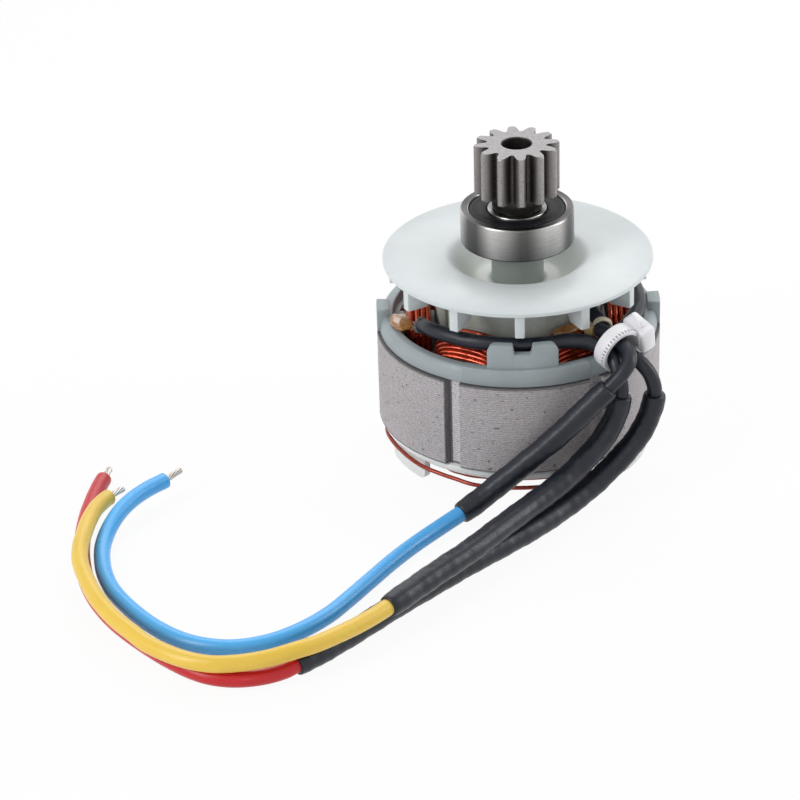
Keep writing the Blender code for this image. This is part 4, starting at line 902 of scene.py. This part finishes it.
# Fan with a dished middle and twelve blades
fanShape = {"radius": 27.4, "top": 42.2, "thick": 1.0, "well": 13.6, "wellFloor": 9.4, "wellMargin": (1.6, 1.4),
            "depth": 5.6, "hub": 5.3, "bore": 4.0, "hubBottom": 27.25, "hubTop": 45.1, "blades": 12,
            "bladeThick": 1.95, "bladeOuter": 26.1, "bladeBottom": 36.0, "tipWidth": 4.5, "slopeWidth": 3.6,
            "start": -1.7}


def discProfile():
    # Radius and height round one side of the disc and its hub.
    shape = fanShape
    radius, top, hub, bore, end, tubeTop = pick(shape, "radius", "top", "hub", "bore", "hubBottom", "hubTop")
    under = top - shape["thick"]
    first, last = shape["wellFloor"] - shape["wellMargin"][0], shape["well"] + shape["wellMargin"][1]
    upper, lower = [], []
    for k in range(13):
        t = k / 12
        place = first + (last - first) * t
        height = top - shape["depth"] * (1 - t * t * (3 - 2 * t))
        upper.append((place, height))
        lower.append((place + 0.45 * sin(pi * t), height - shape["thick"]))
    floor, ceiling = upper[0][1], lower[0][1]
    edge = [(radius - 0.3, top), (radius, top - 0.25), (radius, under + 0.15), (radius - 0.2, under)]
    tube = [(hub + 0.3, ceiling), (hub, ceiling - 0.4), (hub, end), (bore, end), (bore, tubeTop),
            (hub - 0.2, tubeTop), (hub, tubeTop - 0.2), (hub, floor + 0.6), (hub + 0.2, floor + 0.15),
            (hub + 0.6, floor)]
    return edge + lower[::-1] + tube + upper


def makeFan():
    shape = fanShape
    under, low, outer = shape["top"] - shape["thick"], shape["bladeBottom"], shape["bladeOuter"]
    tip = outer - shape["tipWidth"]
    slope = tip - shape["slopeWidth"]
    outline = [(outer, under + 0.3), (outer, low), (tip, low), (tip - shape["slopeWidth"] / 2, low + 2.5),
               (slope, under), (slope, under + 0.3)]
    thick = shape["bladeThick"] * mm
    parts = [turnedForm(discProfile(), 144)]
    for k in range(shape["blades"]):
        blade = bmesh.new()
        face = blade.faces.new([blade.verts.new((radius * mm, -thick / 2, z * mm)) for radius, z in outline])
        rounded(pulled(blade, [face], (0, thick, 0)), 0.22)
        parts.append(transformed(blade, turnedTo(shape["start"] + 360.0 / shape["blades"] * k)))
    finishPiece("fanDetail", merged(parts), (fanLook,), "fan", 40.0, "rotor")


makeFan()

# Ball bearings, with their rings' rounded edges and lipped seals
bearings = {
    "upper": {"bore": 4.0, "outside": 11.5, "bottom": 45.4, "width": 7.0, "inner": 6.0, "land": 9.0, "seat": 9.8},
    "lower": {"bore": 2.5, "outside": 8.0, "bottom": 1.0, "width": 5.0, "inner": 4.1, "land": 6.4, "seat": 7.2},
}


def makeBearing(side, shape):
    low, bore, inner, land, seat, outside = pick(shape, "bottom", "bore", "inner", "land", "seat", "outside")
    high, sunk = low + shape["width"], 1.1
    profile = [(outside, low), (outside, high), (seat, high), (seat, high - sunk), (land, high - sunk),
               (land, low + sunk), (seat, low + sunk), (seat, low)]
    finishPiece(f"{side}BearingOuterRing", turnedForm(roundCorners(profile, 0.42, 4), 96), (ringLook,),
                f"{side}_bearing_outer_ring", 60.0, f"{side}_bearing_housing")
    profile = squareProfile(bore, inner, low, high)
    finishPiece(f"{side}BearingInnerRing", turnedForm(roundCorners(profile, 0.25), 72), (groundLook,),
                f"{side}_bearing_inner_ring", 60.0, "rotor")
    lips = [(inner + 0.2, -0.75), (inner + 0.2, -0.35), (inner + 0.55, -0.25), (inner + 0.75, -0.42),
            (seat - 1.2, -0.42), (seat - 0.9, -0.28), (seat - 0.35, -0.22), (seat - 0.1, -0.4),
            (seat - 0.1, -0.8)]
    for face, edge, way in (("upper", high, 1), ("lower", low, -1)):
        profile = [(radius, edge + way * depth) for radius, depth in lips]
        finishPiece(f"{side}BearingSeal{face}", turnedForm(profile, 96), (rubberLook,),
                    f"{side}_bearing_seal_{face}", 50.0, f"{side}_bearing_housing")


for bearingSide, bearingShape in bearings.items():
    makeBearing(bearingSide, bearingShape)
print("fan and bearings made")


# Pinion and spacer
pinionShape = {"teeth": 12, "tip": 8.6, "pitch": 7.4, "root": 6.0, "bottom": 55.9, "top": 66.3, "bore": 2.95,
               "start": 4.0, "edge": 0.28, "boreEdge": 0.2}
spacerShape = {"inner": 4.0, "outer": 5.1, "bottom": 52.7, "top": 55.6}


def pinionLoop(drop):
    # Each tooth's flank as radius and half width, where one is the whole step.
    teeth, start, root, pitch, tip = pick(pinionShape, "teeth", "start", "root", "pitch", "tip")
    step = 360.0 / teeth
    flank = [(root, 0.44), (root + 0.15, 0.375), (root + 0.6, 0.325), (pitch - 0.3, 0.28), (pitch + 0.2, 0.225),
             (tip - 0.45, 0.155), (tip - 0.1, 0.10), (tip, 0.05)]
    half = [(min(radius, tip - drop), share * step) for radius, share in flank]
    loop = []
    for k in range(teeth):
        centre = step * k + start
        loop += [polar(radius, centre - aside).xy for radius, aside in half]
        loop += [polar(radius, centre + aside).xy for radius, aside in reversed(half)]
    return loop


def makePinion():
    bottom, top, edge, bore, lip = pick(pinionShape, "bottom", "top", "edge", "bore", "boreEdge")
    builder = bmesh.new()
    rows = [(bottom, edge), (bottom + edge, 0.0), (top - edge, 0.0), (top, edge)]
    rings = [flatRing(builder, pinionLoop(drop), height) for height, drop in rows]
    rows = [(bottom, bore), (top - lip, bore), (top, bore + lip)]
    bores = [flatRing(builder, circleLoop(radius, 64), height) for height, radius in rows]
    closeBody(builder, rings, bores)
    finishPiece("pinionDetail", builder, (gearLook,), "pinion", 24.0, "rotor")
    # The spacer is painted near black, as painted shade in the gap between the pinion and the bearing
    profile = squareProfile(*pick(spacerShape, "inner", "outer", "bottom", "top"))
    finishPiece("spacerDetail", turnedForm(roundCorners(profile, 0.2), 64), (spacerShadeLook,), "spacer", 60.0,
                "rotor")


makePinion()


# Cable tie round the thin sleeves, with small blocks near the edge that faces out, painted dark as the shade of
# the tie's moulded teeth
tieShape = {"centre": (18.59, -23.54, 32.18), "azimuth": 38.0, "tilt": 15.0, "inner": 3.9, "thick": 0.95,
            "width": 3.2, "head": (6.3, 5.9, 3.5), "headTurn": -73.0, "headEdge": 0.7, "marks": 40,
            "mark": (0.1, 0.24, 0.55), "markInset": 0.5, "raised": (4.6, 3.4, 0.5), "tail": (2.8, 2.6, 0.95)}


def makeTie():
    shape = tieShape
    inner, outer, half = shape["inner"], shape["inner"] + shape["thick"], shape["width"] / 2
    lie = movedTo(shape["centre"]) @ turnedTo(shape["azimuth"]) \
        @ Matrix.Rotation(radians(90.0 + shape["tilt"]), 4, "Y")
    strap = squareProfile(inner, outer, -half, half)
    parts = [transformed(turnedForm(roundCorners(strap, 0.25), 64), lie)]
    # Small blocks painted dark, as painted shade of the tie's teeth
    start = movedTo((outer, 0, half - shape["markInset"]))
    for k in range(shape["marks"]):
        place = Matrix.Rotation(2 * pi / shape["marks"] * k, 4, "Z") @ start
        parts.append(secondLook(transformed(boxForm(shape["mark"]), lie @ place)))
    wide, high = shape["head"][1:]
    headPlace = lie @ Matrix.Rotation(radians(shape["headTurn"]), 4, "Z") @ movedTo((-inner - high / 2, 0, 0)) \
        @ Matrix.Rotation(pi / 2, 4, "Y")
    for offset, size, edge in (((0, 0, 0), shape["head"], shape["headEdge"]),
                               ((0, -0.3, high * 0.5), shape["raised"], 0.2),
                               ((0, -wide * 0.62, 0.1), shape["tail"], 0.2)):
        parts.append(transformed(rounded(boxForm(size), edge, 3, 40.0), headPlace @ movedTo(offset)))
    finishPiece("cableTieDetail", merged(parts), (tieLook, tieShadeMarkLook), "cable_tie", 40.0)


makeTie()


# Varnish drops, coil tape and lacing thread
drops = {"left": {"at": (-23.9, -6.2, 30.3), "size": (2.2, 3.7, 0.85), "azimuth": -76.0},
         "right": {"at": (9.2, -17.4, 33.2), "size": (1.5, 3.7, 1.0), "azimuth": 32.0}}
tapeShape = {"at": (13.5, -18.3, 33.3), "size": (2.3, 1.3, 2.4), "azimuth": 40.0, "crumple": 0.06}
lacing = {"at": (15.9, -17.1, 34.0), "along": (0.1, -0.95, -0.1), "radius": 1.75, "thick": 0.28, "turns": 3,
          "perTurn": 24, "pitch": 0.42, "wave": 0.08}


def makeSmallThings():
    chance = random.Random(9)
    for side, drop in drops.items():
        builder = bmesh.new()
        bmesh.ops.create_icosphere(builder, subdivisions=4, radius=mm)
        for vert in builder.verts:
            way = vert.co.normalized()
            vert.co *= 1.0 + 0.10 * sin(5 * way.x + 2) * cos(4 * way.y) + chance.uniform(-0.01, 0.01)
        bmesh.ops.scale(builder, vec=drop["size"], verts=builder.verts)
        transformed(builder, movedTo(drop["at"]) @ turnedTo(drop["azimuth"]))
        finishPiece(f"varnishDrop{side}", builder, (amberLook,), f"varnish_{side}", 80.0)
    tape = boxForm(tapeShape["size"])
    bmesh.ops.subdivide_edges(tape, edges=tape.edges[:], cuts=3, use_grid_fill=True)
    for vert in tape.verts:
        vert.co += Vector([chance.uniform(-1, 1) for axis in range(3)]) * tapeShape["crumple"] * mm
    rounded(tape, 0.2, 2, 50.0)
    transformed(tape, movedTo(tapeShape["at"]) @ turnedTo(tapeShape["azimuth"]))
    finishPiece("coilTape", tape, (tapeLook,), angle=50.0)

    # Lacing thread wound round the blue lead's thin sleeve.
    along = Vector(lacing["along"]).normalized()
    side = along.orthogonal().normalized()
    across = along.cross(side)
    line = []
    for k in range(lacing["perTurn"] * lacing["turns"]):
        turn = 2 * pi * k / lacing["perTurn"]
        radius = lacing["radius"] + lacing["wave"] * sin(3.1 * turn)
        offset = (side * cos(turn) + across * sin(turn)) * radius
        offset += along * lacing["pitch"] * k / lacing["perTurn"]
        line.append((Vector(lacing["at"]) + offset) * mm)
    thread = bmesh.new()
    sweptTube(thread, line, lacing["thick"] * mm, 7)
    finishPiece("lacingThread", thread, (threadLook,), angle=60.0)


makeSmallThings()
print("small pieces made")

# The pieces that stay as they are get their own surfaces
kept = {"shaft": groundLook, "rotor_core": steelLook, "balance_plate_upper": brassLook,
        "balance_plate_lower": brassLook, "upper_bearing_cage": groundLook, "lower_bearing_cage": groundLook}
kept.update({f"magnet_{k}": magnetLook for k in range(1, 5)})
for nodeName, look in kept.items():
    nodes[nodeName].data.materials.clear()
    nodes[nodeName].data.materials.append(look)

# White floor and soft studio light, in metres
studio = {"world": 0.30, "floorWhite": 0.94, "floorSize": 6.0, "floorLevel": -0.0002, "target": (0.0, 0.0, 0.03),
          "lamps": [
              {"name": "leftWindow", "at": (-0.50, -0.33, 0.42), "size": (0.22, 0.6), "power": 2.5},
              {"name": "rightWindow", "at": (0.60, 0.05, 0.26), "size": (0.2, 0.5), "power": 1.6},
              {"name": "backWindow", "at": (0.02, 0.26, 0.34), "size": (0.4, 0.3), "power": 0.85},
              {"name": "front", "at": (0.05, -0.9, 0.35), "size": (0.2, 0.4), "power": 0.4}]}
white = (1.0, 1.0, 1.0)


def seenRays(tree):
    # One for rays from the camera, from a mirror surface or through a clear one.
    paths = addNode(tree, "LightPath", {}).outputs
    factor = paths["Is Camera Ray"]
    for name in ("Is Glossy Ray", "Is Transmission Ray"):
        factor = calculate(tree, "MAXIMUM", factor, paths[name])
    return factor


def shownWhite(tree, share, surface, kind, output):
    # Shows plain white in place of a surface by a share.
    plain = addNode(tree, kind, {"Color": white})
    mix = addNode(tree, "MixShader", {"Fac": share, 1: surface.outputs[0], 2: plain.outputs[0]})
    tree.links.new(mix.outputs[0], tree.nodes[output].inputs["Surface"])


def makeStage():
    bpy.ops.mesh.primitive_plane_add(size=studio["floorSize"], location=(0, 0, studio["floorLevel"]))
    floor = bpy.context.active_object
    floor.name = "floor"
    material, tree, shader = startMaterial("paleFloor", (0.92, 0.92, 0.92), 0.7)
    share = calculate(tree, "MULTIPLY", seenRays(tree), studio["floorWhite"])
    shownWhite(tree, share, shader, "Emission", "Material Output")
    floor.data.materials.append(material)

    world = bpy.data.worlds.new("studio")
    bpy.context.scene.world = world
    world.use_nodes = True
    tree = world.node_tree
    background = tree.nodes["Background"]
    setSockets(background, {"Color": (*white, 1.0), "Strength": studio["world"]})
    shownWhite(tree, seenRays(tree), background, "Background", "World Output")
    bpy.context.scene.view_settings.view_transform = "Standard"


def makeLamps():
    for lamp in studio["lamps"]:
        data = bpy.data.lights.new(lamp["name"], "AREA")
        data.shape = "RECTANGLE"
        data.size, data.size_y = lamp["size"]
        data.energy = lamp["power"]
        item = addToScene(lamp["name"], data)
        item.location = lamp["at"]
        item.rotation_euler = (Vector(studio["target"]) - item.location).to_track_quat("-Z", "Y").to_euler()


makeStage()
makeLamps()
print("stage and light made")
